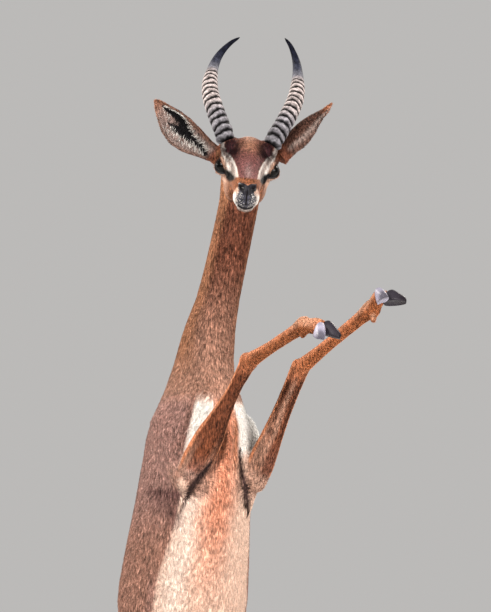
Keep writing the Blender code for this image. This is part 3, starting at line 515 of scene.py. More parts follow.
def tail_shape(share, turn):
    middle = on_tail(share)
    closed = np.sqrt(np.clip(np.minimum(share, 1 - share) * 30, 0, 1))[:, None]
    radius = smooth(np.linspace(0, 1, len(TAIL)), TAIL[:, 2:], share) * closed
    run = unit(on_tail(np.minimum(share + 0.01, 1)) - middle - UP * 1e-6)
    other = np.cross(run, LEFT)
    return middle + radius * (np.cos(turn)[:, None] * LEFT + np.sin(turn)[:, None] * other)


def copy_of(nodes, name):
    """One new object from copies of the solids, with their loose triangles merged."""
    bpy.ops.object.select_all(action="DESELECT")
    for node in nodes:
        piece = frame["nodes"][node].copy()
        piece.data = piece.data.copy()
        piece.parent = None
        bpy.context.scene.collection.objects.link(piece)
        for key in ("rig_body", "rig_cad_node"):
            del piece[key]
        piece.select_set(True)
        bpy.context.view_layer.objects.active = piece
    bpy.ops.object.join()
    made = bpy.context.object
    made.name = made.data.name = name
    made.data.materials.clear()
    edit_all(bpy.ops.mesh.remove_doubles, threshold=1e-6)
    return made


def split_finer(piece, chosen):
    """Divides the faces whose middle is chosen."""
    select_only(piece)
    mesh = piece.data
    middles = np.empty(len(mesh.polygons) * 3)
    mesh.polygons.foreach_get("center", middles)
    bpy.ops.object.mode_set(mode="EDIT")
    bpy.ops.mesh.select_mode(type="FACE")
    bpy.ops.mesh.select_all(action="DESELECT")
    bpy.ops.object.mode_set(mode="OBJECT")
    mesh.polygons.foreach_set("select", chosen(middles.reshape(-1, 3)))
    bpy.ops.object.mode_set(mode="EDIT")
    bpy.ops.mesh.subdivide(number_cuts=1, smoothness=0)
    bpy.ops.object.mode_set(mode="OBJECT")


def group_of(piece, chosen):
    """The name of a new group of the chosen vertices, for a modifier to keep to."""
    group = piece.vertex_groups.new(name="chosen")
    group.add([int(k) for k in np.nonzero(chosen)[0]], 1.0, "REPLACE")
    return group.name


def head_share(points):
    """1 on the head, and 0 below a slanting line under the jaw."""
    _, forward, up = in_head(points)
    return ease(-0.020, 0.000, up * 0.75 + forward * 0.62 + 0.062) * (points[:, 2] > 1.62)


def near_features(points):
    """Where the skin needs fine faces: the end of the muzzle and round the eyes."""
    _, forward, up = in_head(points)
    found = (forward > NOSE_FROM) & (up < 0.01)
    for side in SIDES.values():
        found |= np.linalg.norm(points - eye_frame(side)[0], axis=1) < 0.028
    return found


def coat_depth(points, belongs):
    """How far the skin lies inside the solids, which the tips of the coat reach."""
    fore = belongs["foreleg_right"] + belongs["foreleg_left"]
    hind = belongs["hind_leg_right"] + belongs["hind_leg_left"]
    depth = 0.0016 + 0.0012 * belongs["trunk"] - 0.0006 * fore - 0.0009 * belongs["head"]
    return depth - 0.0005 * hind * ease(0.62, 0.50, points[:, 2])


def lids(points):
    """Draws the skin over each eyeball and opens it along the edges of the lids."""
    for side in SIDES.values():
        centre, outward, ahead, high = eye_frame(side)
        away = points - centre
        reach = np.linalg.norm(away, axis=1)
        x, y, z = away @ ahead, away @ high, away @ outward
        theta = np.degrees(np.arctan2(np.hypot(x, y), z))
        turn = np.arctan2(y, x)
        beyond = theta - eye_opening(turn)
        edge = EYE_RADIUS + LID_GAP
        lid = edge + LID_THICKNESS * ease(0, 7, beyond) * (1 + 0.35 * np.sin(turn))
        lid -= 0.0009 * hump(beyond, 17, 5) * (np.sin(turn) > 0)
        sunk = EYE_RADIUS - LID_SUNK
        target = np.where(beyond < 0, sunk + (edge - sunk) * ease(-7, 0, beyond), lid)
        near = ease(34, 14, beyond) * (reach < 0.034) * (z > -0.004)
        drawn = centre + unit(away) * target[:, None]
        points = points + (drawn - points) * near[:, None]
    return points


def sculpt_face(points):
    """Nostrils, the line of the mouth, the groove under the nose and the glands in front of the eyes."""
    side, forward, up = in_head(points)
    across = np.abs(side)
    nose = forward > NOSE_FROM
    line = -0.0700 + 0.144 * np.maximum(0, 0.118 - forward) + 20 * np.minimum(across, 0.016) ** 2
    run = ease(0.052, 0.070, forward) * (across < 0.03)
    nostril = hump(across, 0.0105, 0.0036) * hump(up, -0.0358 + (across - 0.010) * 0.35, 0.0028) * nose
    wing = hump(across, 0.0115, 0.0060) * hump(up, -0.0300, 0.0034) * nose
    groove = hump(side, 0, 0.0011) * ease(-0.068, -0.060, up) * ease(-0.038, -0.042, up) * nose
    mouth = hump(up, line, 0.0011) * run
    lips = hump(up, line + 0.0042, 0.0030) * run
    forwards = 0.0014 * wing + 0.0008 * lips - 0.0055 * nostril - 0.0018 * groove - 0.0026 * mouth
    glands = hump(across, 0.0310, 0.006) * hump(up, -0.0150, 0.0055) * hump(forward, 0.036, 0.010)
    sideways = -0.0016 * glands * np.sign(side)
    return points + np.outer(forwards, HEAD_FRONT) + np.outer(sideways, HEAD_LEFT)


def make_skin():
    """One closed surface from the solids of the flesh, fine on the head, with lids, nostrils and ears."""
    skin = copy_of(FLESH, "skin")
    wrapped("tail_stem", 16, 48, tail_shape)
    skin.select_set(True)
    bpy.context.view_layer.objects.active = skin
    bpy.ops.object.join()
    modify(skin, "DISPLACE", strength=SKIN_SWELL, mid_level=0)
    modify(skin, "REMESH", mode="VOXEL", voxel_size=SKIN_VOXEL)
    body = group_of(skin, head_share(places(skin)) < 0.01)
    modify(skin, "SMOOTH", factor=0.5, iterations=4)
    modify(skin, "DECIMATE", ratio=SKIN_BODY_KEPT, vertex_group=body, vertex_group_factor=1.0)
    skin.vertex_groups.clear()
    split_finer(skin, lambda middles: head_share(middles) > 0.3)
    split_finer(skin, near_features)
    head = group_of(skin, head_share(places(skin)) > 0.3)
    modify(skin, "SMOOTH", factor=0.5, iterations=3, vertex_group=head)
    skin.vertex_groups.clear()
    points = places(skin)
    _, belongs = read_bones(points)
    points = points - normals(skin) * (SKIN_SWELL + coat_depth(points, belongs))[:, None]
    set_places(skin, sculpt_face(lids(points)))
    for which in SIDES:
        ear = wrapped("ear", 40, 56, ear_shape(which))
        modify(skin, "BOOLEAN", operation="UNION", solver="MANIFOLD", object=ear)
        bpy.data.objects.remove(ear)
    edit_all(bpy.ops.mesh.quads_convert_to_tris)
    edit_all(bpy.ops.uv.smart_project, angle_limit=math.radians(66), island_margin=0.001)
    skin.data.uv_layers[0].name = "OFBake"
    bpy.ops.object.shade_smooth()
    return skin


# Markings
def ear_place(points, which):
    """Share along the ear, how far across it in metres, and the way in towards its middle line."""
    base, along, _, across, length = ear_frame(which)
    share = (points - base) @ along / length
    middle, _, _ = ear_section(which, share)
    return share, (points - middle) @ across, unit(middle - points)


def coat_tones(points, outward):
    """Colour of the coat at each point, with painted rim light, sheen and shade laid in among the markings,
    and how bare the skin is there.
    """
    _, belongs = read_bones(points)
    height = points[:, 2]
    tone = np.tile(TONES["neck_top"], (len(points), 1))

    def lay(name, mask):
        tone[:] += (TONES[name] - tone) * np.clip(mask, 0, 1)[:, None]

    wander = ripple(points, 45, 1)
    turn = around_trunk(points) + 3 * wander
    wide = np.abs(turn)
    # neck, back and flanks
    lay("neck_foot", ease(1.66, 1.42, height))
    lay("neck_top", ease(1.36, 1.42, height) * ease(120, 150, wide) * 0.6)
    # painted rim light down both edges of the neck, stronger on the edge facing the animal's right
    rim = ease(-0.55, -0.97, outward[:, 0]) + 0.35 * ease(0.86, 0.98, outward[:, 0])
    lay("neck_rim_light", rim * ease(1.40, 1.50, height))
    trunk = ease(1.405, 1.375, height + 0.004 * wander)
    lay("shoulder", trunk)
    lay("flank", trunk * ease(1.24, 1.12, height))
    lay("saddle", trunk * ease(112, 140, wide) * 0.8)
    # belly and its border
    edge = np.interp(height, (0.80, 0.95, 1.045, 1.12, 1.19, 1.26, 1.33), (62, 52, 46, 43, 40, 44, 40))
    edge += 16 * (turn > 0) * ease(0.84, 0.95, height)
    belly = trunk * ease(edge + 2.5, edge - 2.5, wide)
    lay("saddle", trunk * hump(wide, edge + 5, 5) * ease(1.10, 1.22, height) * 0.35)
    lay("shoulder", trunk * ease(edge + 14, edge + 4, wide) * ease(1.10, 1.06, height) * 0.5)
    lay("cream", belly)
    # whiter on the animal's right side of the belly: painted light on the side the light falls on
    lay("white", belly * hump(turn, -30, 12) * 0.3)
    lay("salmon", belly * ease(30, 2, wide + 2 * ripple(points, 160, 4)) * ease(0.98, 1.22, height) * 0.9)
    # white patches, stripes and the red middle of the chest
    patch = ease(1.285, 1.310, height) * ease(1.392, 1.378, height + 0.003 * wander)
    lay("white", patch * ease(16, 21, turn) * ease(96, 84, turn))
    lay("white", patch * ease(-12, -17, turn) * ease(-43, -37, turn))
    lay("stripe", hump(wide, 17, 4.5) * ease(1.25, 1.30, height) * ease(1.38, 1.35, height) * 0.9)
    lay("salmon", ease(15, 9, wide) * ease(1.25, 1.30, height) * ease(1.395, 1.375, height) * 0.7)
    lay("white", trunk * hump(height, 0.80, 0.055) * ease(152, 162, wide))
    # upper arms
    arm = belongs["shoulder_right"] * ease(1.375, 1.350, height + 0.25 * points[:, 0])
    lay("shoulder", ease(0.30, 0.55, arm))
    arm = np.maximum(arm * ease(1.33, 1.25, height), belongs["shoulder_left"] * ease(1.315, 1.285, height))
    lay("leg_sheen", ease(0.20, 0.60, arm) * 0.75)
    for which, side in SIDES.items():
        mark_legs(lay, points, outward, belongs, which, side)
    front = ease(0.0, -0.3, outward[:, 1])
    ragged = points + 0.0022 * ripple(points, 500, 8)[:, None]
    # painted shade in the creases round the elbows, and the pale elbow lines
    for name, strength, path in ELBOW_SHADE_AND_TUFTS:
        lay(name, front * strength * near_path(ragged, path))
    # tail
    tail = ease(0.4, 0.7, belongs["tail"]) * ease(0.87, 0.85, height)
    lay("flank", tail)
    lay("black", tail * ease(0.74, 0.66, height))
    bare = mark_head(lay, points, outward, belongs)
    for which in SIDES:
        mark_ear(lay, points, outward, belongs, which)
    return tone, bare


# Painted shade in the creases where the forelegs stand off the belly and under the shoulder, softened at its
# edges with saddle tone, and pale lines for the elbow tuft and the fold behind it: tone, strength, and x, z
# and half width along each, from the front
ELBOW_SHADE_AND_TUFTS = (
    ("saddle", 0.4, (
        (0.0450, 1.2700, 0.0060), (0.0300, 1.2440, 0.0150), (0.0120, 1.2240, 0.0110),
    )),
    ("shade", 1.0, (
        (0.0400, 1.2780, 0.0025), (0.0240, 1.2560, 0.0060), (0.0080, 1.2360, 0.0065),
        (-0.0018, 1.2190, 0.0045), (-0.0100, 1.2000, 0.0018),
    )),
    ("saddle", 0.5, (
        (0.0930, 1.2900, 0.0060), (0.1010, 1.2475, 0.0130), (0.1050, 1.2113, 0.0100),
    )),
    ("shade", 1.0, (
        (0.0915, 1.3080, 0.0012), (0.0945, 1.2738, 0.0035), (0.0990, 1.2475, 0.0055),
        (0.1035, 1.2213, 0.0060), (0.1076, 1.1915, 0.0030),
    )),
    ("shoulder_crease_shade", 0.9, (
        (-0.0640, 1.2330, 0.0050), (-0.0385, 1.2300, 0.0080), (-0.0120, 1.2258, 0.0070),
    )),
    ("shoulder_crease_shade", 0.6, (
        (-0.0500, 1.2160, 0.0140), (-0.0240, 1.2100, 0.0170), (-0.0200, 1.1800, 0.0120),
    )),
    ("tuft", 0.9, ((-0.0060, 1.2265, 0.0026), (-0.0130, 1.1968, 0.0018))),
    ("tuft", 1.0, ((-0.0110, 1.2470, 0.0060), (-0.0080, 1.2370, 0.0070))),
)


def near_path(points, path):
    """1 on a path seen from the front, falling to 0 beyond its half width."""
    here = points[:, (0, 2)]
    found = np.zeros(len(points))
    for start, end in zip(np.array(path), np.array(path)[1:]):
        run = end - start
        share = np.clip((here - start[:2]) @ run[:2] / (run[:2] @ run[:2]), 0, 1)
        on = start + share[:, None] * run
        away = np.linalg.norm(here - on[:, :2], axis=1) / on[:, 2]
        found = np.maximum(found, ease(1.7, 0.3, away))
    return found


def mark_legs(lay, points, outward, belongs, which, side):
    """The foreleg's painted sheen, its painted rim light, dark bands that are painted shade as well as
    darker hair, and a pale foot whose top is partly a painted highlight; and the hind leg's buff outside and
    white inside.
    """
    leg = {name: np.array(place) for name, place in FORELEGS[which].items() if name != "claws"}
    height = points[:, 2]
    fore = ease(0.35, 0.75, belongs["foreleg_" + which])
    lay("leg", fore)
    run = leg["fetlock"] - leg["carpus"]
    below = fore * ease(-0.010, 0.020, (points - leg["carpus"]) @ unit(run))
    lay("cannon", below)
    bone = np.where(below[:, None] > 0.5, run, leg["carpus"] - leg["elbow"])
    facing = np.sum(outward * unit(np.cross((0, 1, 0), bone)), axis=1)
    streak = 0.10 * ripple(points, 90, 6)
    upper = fore - below
    # painted light and shade across the forearm: sheen on its lit side and middle, dark bands near its edges
    # that are painted shade with some darker hair, and a darker painted shaded side on the animal's left
    if which == "left":
        lay("leg_sheen", upper * ease(0.3, -0.6, facing + streak) * ease(1.40, 1.30, height) * 0.75)
        lay("leg_dark", upper * hump(facing, -0.50 + streak, 0.20) * ease(1.33, 1.42, height) * 0.75)
        lay("leg_sheen", upper * hump(facing, 0.05 + streak, 0.28) * ease(1.44, 1.40, height) * 0.8)
        lay("leg_dark", upper * hump(facing, 0.80 + streak, 0.22) * ease(1.29, 1.34, height) * 0.7)
        lay("leg_rough", upper * ease(-0.3, 0.5, facing) * ease(1.32, 1.28, height) * 0.8)
    else:
        upper_arm = ease(1.335, 1.270, height)
        lay("shoulder", upper * ease(1.300, 1.235, height) * 0.55)
        lay("leg_sheen", upper * upper_arm * ease(-0.20, -0.60, facing + streak) * 0.8)
        lay("leg_sheen", upper * hump(facing, 0.72, 0.16) * upper_arm * 0.5)
        lay("leg_dark", upper * hump(facing, 0.30 + streak, 0.20) * ease(1.31, 1.38, height) * 0.5)
        lay("leg_dark", upper * hump(facing, 0.85, 0.18) * ease(1.28, 1.33, height) * 0.7)
    # painted rim light along the leg's edges, strongest on the side facing the animal's right
    lay("leg_rim", fore * ease(-0.74, -0.92, facing))
    lay("leg_rim", below * ease(-0.20, -0.80, facing) * 0.8)
    lay("leg_rim", fore * ease(0.95, 0.99, facing) * 0.6)
    away = np.linalg.norm(points - leg["fetlock"], axis=1)
    # the pale foot tone is laid only where the surface faces up: the pastern's paler hair with a painted
    # highlight along its top
    lay("foot", fore * ease(0.050, 0.020, away) * ease(-0.4, 0.4, outward[:, 2]))
    carpus = np.linalg.norm(points - leg["carpus"], axis=1)
    lay("stripe", fore * ease(0.035, 0.014, carpus) * 0.35)

    hind = ease(0.30, 0.65, belongs["hind_leg_" + which]) * ease(0.92, 0.80, height)
    inside = ease(0.15, 0.65, outward @ LEFT * -side)
    lay("buff", hind * (1 - inside))
    lay("leg", hind * ease(0.66, 0.50, height))
    lay("white", hind * inside * ease(0.46, 0.62, height))
    lay("leg_pale", hind * inside * ease(0.62, 0.46, height) * 0.8)
    lay("leg_dark", hind * hump(height, 0.365, 0.05) * ease(0.0, 0.7, -(outward @ FRONT)) * 0.5)
    lay("foot", hind * ease(0.135, 0.090, height) * 0.6)
    lay("leg_dark", hind * ease(0.082, 0.068, height) * 0.6)


# Half width of the dark blaze by height in the head's frame
BLAZE = np.array([
    (-0.030, 0.0135), (-0.017, 0.0160), (-0.005, 0.0180), (0.009, 0.0240),
    (0.0225, 0.0330), (0.033, 0.0415), (0.050, 0.0445),
])
# The gland's dark hollow before the eye: sideways, up and half width
GLAND = ((0.0385, -0.0080, 0.0030), (0.0325, -0.0150, 0.0056), (0.0270, -0.0215, 0.0048))


def mark_head(lay, points, outward, belongs):
    """The face, laid from the back forwards. Returns how bare the skin is."""
    side, forward, up = in_head(points)
    across = np.abs(side)
    head = ease(0.35, 0.75, belongs["head"])
    face = head * ease(-0.050, -0.020, forward)
    lay("cheek", head)
    lay("neck_top", head * ease(-0.02, -0.05, forward))
    lay("cream", head * ease(-0.040, -0.060, up) * ease(0.4, -0.1, outward @ HEAD_FRONT) * 0.8)
    # white stripes beside the blaze, cheeks and ear roots
    fleck = ripple(points, 900, 5)
    blaze = np.interp(up, BLAZE[:, 0], BLAZE[:, 1]) + 0.0006 * fleck
    reach = ease(-0.026, -0.014, up) * ease(0.048, 0.034, up) * ease(-0.03, -0.01, forward)
    stripe = ease(blaze - 0.001, blaze + 0.002, across) * ease(blaze + 0.019, blaze + 0.013, across)
    lay("white", face * stripe * reach)
    lay("grey", face * hump(across, blaze + 0.0078, 0.0048) * reach * (1.1 + 0.5 * fleck))
    lay("cream", face * hump(across, 0.0400, 0.0085) * hump(up, -0.0235, 0.0085) * 0.8)
    # pale tuft tone low on the cheeks is painted rim light
    lay("tuft", face * hump(across, 0.0360, 0.0070) * hump(up, -0.0390, 0.0100) * 0.45)
    behind = head * ease(-0.022, -0.036, forward)
    lay("ear_back", behind * ease(0.040, 0.050, across) * ease(0.004, 0.016, up))
    # blaze, brows and crown
    inside = face * ease(blaze + 0.001, blaze - 0.002, across)
    lay("blaze", inside * ease(-0.0285, -0.0240, up))
    lay("cheek", inside * ease(0.002, 0.045, up) * 0.5)
    lay("brow", inside * ease(0.45, 1.0, across / blaze) * ease(-0.020, 0.004, up) * 0.45)
    rough = ripple(points, 420, 12)
    brow = face * hump(across + 0.0022 * rough, 0.0290, 0.0130) * hump(up + 0.0020 * fleck, 0.0320, 0.0150)
    lay("brow", brow * (1.9 + 0.35 * rough))
    lay("crown", inside * ease(0.3, 1.2, fleck) * hump(side, 0, 0.020) * ease(0.000, 0.030, up) * 0.4)
    lay("crown", face * hump(across, 0.0, 0.0130) * ease(0.020, 0.040, up + 0.0015 * fleck) * 0.9)
    lay("cream", face * hump(across, 0.0, 0.0110) * ease(0.042, 0.052, up) * (0.35 + 0.35 * fleck))
    lay("white", face * hump(across, 0.0, 0.0065) * hump(up, -0.010, 0.014) * (0.18 + 0.12 * fleck))
    # muzzle: its pale rim, speckled lips, pad, nostrils and mouth
    nose = head * ease(0.090, 0.102, forward)
    oval = np.hypot(side / 0.0230, (up + 0.0530) / 0.0235)
    lay("tuft", nose * ease(1.04, 0.94, oval) * (0.75 + 0.25 * fleck))
    lay("white", nose * ease(1.02, 0.94, oval) * ease(0.60, 0.85, oval) * ease(-0.0430, -0.0520, up))
    middle = np.hypot(side / 0.0205, (up + 0.0560) / 0.0225)
    lips = nose * ease(1.02, 0.66, middle + 0.10 * fleck)
    speckle = ripple(points, 1500, 9)
    lay("lips", lips * 1.2)
    lay("white", lips * ease(0.35, 0.9, speckle + 0.4 * fleck) * ease(0.10, 0.55, middle) * 0.85)
    lay("lips", nose * hump(side, 0, 0.0042) * ease(-0.0730, -0.0660, up) * ease(-0.040, -0.044, up))
    lay("cheek", nose * ease(-0.0335, -0.0300, up) * ease(-0.0180, -0.0220, up))
    narrow = across + 1.05 * np.maximum(0, -0.0390 - up)
    pad = nose * ease(0.0168, 0.0148, narrow) * ease(-0.0520, -0.0480, up)
    pad *= ease(-0.0272, -0.0296, up + 0.0035 * hump(side, 0, 0.0040))
    lay("lips", pad)
    lay("black", pad * 0.75)
    nostril = nose * hump(across, 0.0110, 0.0046) * hump(up, -0.0362 + (across - 0.010) * 0.35, 0.0042)
    lay("black", nostril * 1.8)
    groove = nose * hump(side, 0, 0.0016) * ease(-0.0690, -0.0640, up) * ease(-0.040, -0.044, up)
    lay("black", groove)
    curve = -0.0725 + 30 * across**2
    mouth = nose * hump(up, curve, 0.0019) * ease(0.0150, 0.0120, across)
    lay("grey", nose * ease(0.0000, -0.0030, up - curve) * ease(0.016, 0.012, across) * 0.7)
    lay("black", mouth * 1.6)
    bare = np.clip(pad + nostril + groove + mouth + 0.6 * lips, 0, 1)
    # lids and glands
    for eye_side in SIDES.values():
        centre, gaze, ahead, high = eye_frame(eye_side)
        away = points - centre
        theta = np.degrees(np.arctan2(np.hypot(away @ ahead, away @ high), away @ gaze))
        beyond = theta - eye_opening(np.arctan2(away @ high, away @ ahead))
        near = ease(0.030, 0.024, np.linalg.norm(away, axis=1))
        lay("tuft", near * hump(beyond, 17, 9) * 0.8)
        lay("black", near * ease(8, 4, beyond))
        bare = np.maximum(bare, near * ease(8, 4, beyond))
        gland = near_path(np.stack([across, forward, up], axis=1), GLAND) * ease(0, 0.002, side * eye_side)
        lay("black", head * gland * ease(0.002, 0.012, forward) * 1.3)
    return bare


# The black marks inside the ear: share along it, how far across it their middle lies, half their width
EAR_MARK_UPPER = np.array([
    (0, -0.0120, 0.0022), (0.10, -0.0090, 0.0038), (0.22, -0.0020, 0.0058), (0.30, -0.0010, 0.0066),
    (0.43, 0.0025, 0.0105), (0.50, 0.0080, 0.0100), (0.60, 0.0140, 0.0088), (0.70, 0.0130, 0.0066),
    (0.82, 0.0071, 0.0040), (0.90, 0.0050, 0.0001),
])
EAR_MARK_LOWER = np.array([
    (0.38, -0.0020, 0.0001), (0.46, -0.0030, 0.0080), (0.60, -0.0045, 0.0062), (0.70, -0.0065, 0.0001),
])


def ear_black(share, beside):
    """1 in the black marks inside the ear."""
    found = np.zeros(len(share))
    for mark in (EAR_MARK_UPPER, EAR_MARK_LOWER):
        middle = np.interp(share, mark[:, 0], mark[:, 1])
        half = np.interp(share, mark[:, 0], mark[:, 2], left=0, right=0)
        within = ease(half + 0.0012, half - 0.0012, np.abs(beside - middle))
        found = np.maximum(found, within * (half > 0.0002))
    return found


def mark_ear(lay, points, outward, belongs, which):
    """The ear's dark back with a pale lower edge, and its haired inside with black marks."""
    share, beside, inward = ear_place(points, which)
    half = ear_half(which, share)
    ear = ease(0.45, 0.8, belongs["ear_" + which]) * ease(0.02, 0.10, share)
    lay("ear_back", ear)
    lay("stripe", ear * ease(0.70, 0.97, share) * 0.7)
    lay("grey", ear * hump(beside / half, -0.84, 0.13) * ease(0.97, 0.9, share) * 0.8)
    inner = ear * ease(-0.1, 0.3, np.sum(outward * inward, axis=1))
    lay("ear_hair", inner * 0.75)
    lay("saddle", inner * ease(0.010, 0.003, half - beside) * 0.7)
    lay("saddle", inner * ease(0.004, 0.001, half + beside) * 0.5)
    lay("saddle", inner * ease(0.80, 0.95, share) * 0.8)
    lay("black", inner * ear_black(share, beside))


# Shader
class Value:
    """A socket that takes Python's operators, each of which adds a Math node."""

    def __init__(self, finish, socket):
        self.finish = finish
        self.socket = socket

    def maths(self, operation, first, second):
        return self.finish.node("Math", {"operation": operation}, {0: first, 1: second})

    def __add__(self, other):
        return self.maths("ADD", self, other)

    def __mul__(self, other):
        return self.maths("MULTIPLY", self, other)

    def __sub__(self, other):
        return self.maths("SUBTRACT", self, other)

    def __rsub__(self, other):
        return self.maths("SUBTRACT", other, self)

    __radd__ = __add__
    __rmul__ = __mul__


class Finish:
    """A tree of shader nodes, each added by one method."""

    def __init__(self, tree):
        self.tree = tree

    def feed(self, socket, value):
        if isinstance(value, Value):
            self.tree.links.new(value.socket, socket)
        else:
            socket.default_value = value

    def node(self, kind, settings=None, inputs=None, output=0):
        made = self.tree.nodes.new("ShaderNode" + kind)
        for name, value in (settings or {}).items():
            setattr(made, name, value)
        for key, value in (inputs or {}).items():
            self.feed(made.inputs[key], value)
        return Value(self, made.outputs[output])

    def attribute(self, name, output="Color"):
        return self.node("Attribute", {"attribute_name": name}, output=output)

    def noise(self, scale, detail, stretch=(1, 1, 1)):
        here = self.node("TexCoord", output="Object")
        place = self.node("Mapping", inputs={"Vector": here, "Scale": stretch})
        return self.node("TexNoise", inputs={"Vector": place, "Scale": scale, "Detail": detail})

    def ramp(self, share, *stops):
        """Colours along a share: each stop is its place and its colour."""
        made = self.node("ValToRGB", inputs={"Fac": share})
        elements = made.socket.node.color_ramp.elements
        for element, (place, colour) in zip(elements, (stops[0], stops[-1])):
            element.position = place
            element.color = colour
        for place, colour in stops[1:-1]:
            elements.new(place).color = colour
        return made

    def scaled(self, colour, factor):
        """A colour times a number."""
        return self.node("VectorMath", {"operation": "SCALE"}, {0: colour, "Scale": factor})


class Material(Finish):
    """A material with one Principled shader, whose sockets are named with _ for a space."""

    def __init__(self, name, **plain):
        self.material = bpy.data.materials.new(name)
        self.material.use_nodes = True
        super().__init__(self.material.node_tree)
        self.shader = self.tree.nodes["Principled BSDF"]
        self.set(**plain)

    def set(self, **sockets):
        for name, value in sockets.items():
            self.feed(self.shader.inputs[name.replace("_", " ")], value)

    def bump(self, height, strength, distance):
        sockets = {"Height": height, "Strength": strength, "Distance": distance}
        self.set(Normal=self.node("Bump", inputs=sockets))

    def dress(self, piece, slot):
        piece.data.materials.clear()
        piece.data.materials.append(self.material)
        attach(piece, "root")


def hair_material(name, shade):
    """Colour from the markings, with paler and darker patches, least where the coat is pale."""
    made = Material(name, Specular_IOR_Level=0.10)
    tone = made.attribute("tone")
    patches = made.noise(38, 4, (1, 1, 0.4))
    streaks = made.noise(380, 3, (1, 1, 0.20))
    darkness = 1.2 - made.node("RGBToBW", inputs={"Color": tone})
    shades = (patches * 0.5 + streaks * 3.6 - 2.05) * (darkness * darkness) + 1
    shades = made.node("Math", {"operation": "MAXIMUM"}, {0: shades, 1: 0.15})
    made.set(Base_Color=made.scaled(tone, shades * shade), Roughness=patches * 0.2 + 0.5)
    return made


def skin_material():
    made = hair_material("skin", 0.85)
    bare = made.attribute("bare", "Fac")
    made.set(Roughness=0.70 - bare * 0.25)
    hair = made.noise(420, 4, (1, 1, 0.25)) * (1 - bare)
    made.bump(hair + made.noise(900, 3) * 0.6, 0.5, 0.0006)
    return made


def horn_material():
    made = Material("horn", Specular_IOR_Level=0.04)
    streak = made.noise(210, 5)
    tone = made.attribute("tone")
    made.set(Base_Color=made.scaled(tone, streak * 2.4 - 0.35), Roughness=streak * 0.3 + 0.50)
    made.bump(streak + made.noise(700, 2) * 0.4, 0.7, 0.0012)
    return made


def hoof_material():
    made = Material("hoof", Specular_IOR_Level=0.10)
    cloud = made.noise(70, 4)
    rings = made.node("Math", {"operation": "SINE"}, {0: made.attribute("growth", "Fac") * 95 + cloud * 4})
    made.set(Base_Color=made.scaled(made.attribute("tone"), cloud + 0.5), Roughness=cloud * 0.3 + 0.28)
    made.bump(rings * 0.3 + made.noise(260, 3), 0.25, 0.0005)
    return made


def eye_material():
    made = Material("eye", Roughness=0.07, Specular_IOR_Level=0.09)
    made.set(Base_Color=made.attribute("tone"))
    return made


def wood_material():
    made = Material("wood", Coat_Weight=0.15, Coat_Roughness=0.25)
    bend = made.noise(3.0, 2)
    grain = made.noise(26, 6, (0.12, 1, 1))
    fibre = made.noise(240, 3, (0.03, 1, 1))
    band = made.node("Math", {"operation": "FRACT"}, {0: grain * 3.0 + bend * 2.0})
    share = band * 0.55 + fibre * 0.45
    stops = (0.15, (0.085, 0.040, 0.018, 1)), (0.5, (0.19, 0.098, 0.047, 1)), (0.9, (0.33, 0.19, 0.10, 1))
    made.set(Base_Color=made.ramp(share, *stops), Roughness=fibre * 0.2 + 0.38)
    made.bump(share, 0.15, 0.0006)
    return made


# Coat
PATCH = 0.0030
SUNK = 0.0005
TUFT_THICK = 0.32
COAT_SEED = 11
LONG_HAIR_SEED = 23


def built(name, points, faces, uvs):
    """A mesh object of triangles, whose uvs hold one place a corner."""
    mesh = bpy.data.meshes.new(name)
    mesh.vertices.add(len(points))
    mesh.loops.add(faces.size)
    mesh.polygons.add(len(faces))
    mesh.vertices.foreach_set("co", points.astype(np.float32).ravel())
    mesh.loops.foreach_set("vertex_index", faces.astype(np.int32).ravel())
    mesh.polygons.foreach_set("loop_start", np.arange(0, faces.size, 3, dtype=np.int32))
    unwrap = mesh.uv_layers.new(name="OFBake")
    unwrap.uv.foreach_set("vector", np.clip(uvs, 0, 1).astype(np.float32).ravel())
    mesh.update(calc_edges=True)
    piece = bpy.data.objects.new(name, mesh)
    bpy.context.scene.collection.objects.link(piece)
    return piece


def tufts(name, hairs, rows=1):
    """Tapered three-sided tufts. Each is rooted in the skin, runs along its lie and rises by its lift."""
    roots, lie, up = hairs["root"], hairs["lie"], hairs["up"]
    across = unit(np.cross(up, lie))
    length, width, lift = hairs["length"], hairs["width"], hairs["lift"]
    corners = []
    patch = []
    for k in range(rows):
        share = k / rows
        half = width / 2 * (1 - share) ** 0.7
        sunk = SUNK if k == 0 else 0
        rise = lift * math.sin(share * math.pi / 2) - sunk
        middle = roots + lie * (length * share)[:, None] + up * rise[:, None]
        for x, z in ((1, 0), (-1, 0), (0, 1)):
            away = across * (x * half)[:, None] + up * (z * (half * 2 * TUFT_THICK + sunk))[:, None]
            corners.append(middle + away)
            patch.append((x * (1 - share) / 2, share - 0.5 + 0.15 * z * (1 - share)))
    corners.append(roots + lie * length[:, None] + up * lift[:, None])
    patch.append((0, 0.5))
    faces = [(0, 1, 2)]
    for k in range(0, 3 * (rows - 1), 3):
        for a, b in ((0, 2), (2, 1), (1, 0)):
            faces += [(k + a, k + b, k + 3 + b), (k + a, k + 3 + b, k + 3 + a)]
    k = 3 * (rows - 1)
    faces = np.array(faces + [(k, k + 2, k + 3), (k + 1, k + 3, k + 2), (k, k + 3, k + 1)])
    count = len(corners)
    every = (faces + (np.arange(len(roots)) * count)[:, None, None]).reshape(-1, 3)
    spots = hairs["uv"][:, None, :] + np.array(patch)[faces.ravel()] * PATCH
    piece = built(name, np.stack(corners, axis=1).reshape(-1, 3), every, spots.reshape(-1, 2))
    fade = np.append(np.repeat(0.72 + 0.35 * np.arange(rows) / rows, 3), 1.12)
    paint(piece, "tone", np.clip(hairs["tone"][:, None, :] * fade[:, None], 0.002, 0.95).reshape(-1, 3))
    return piece


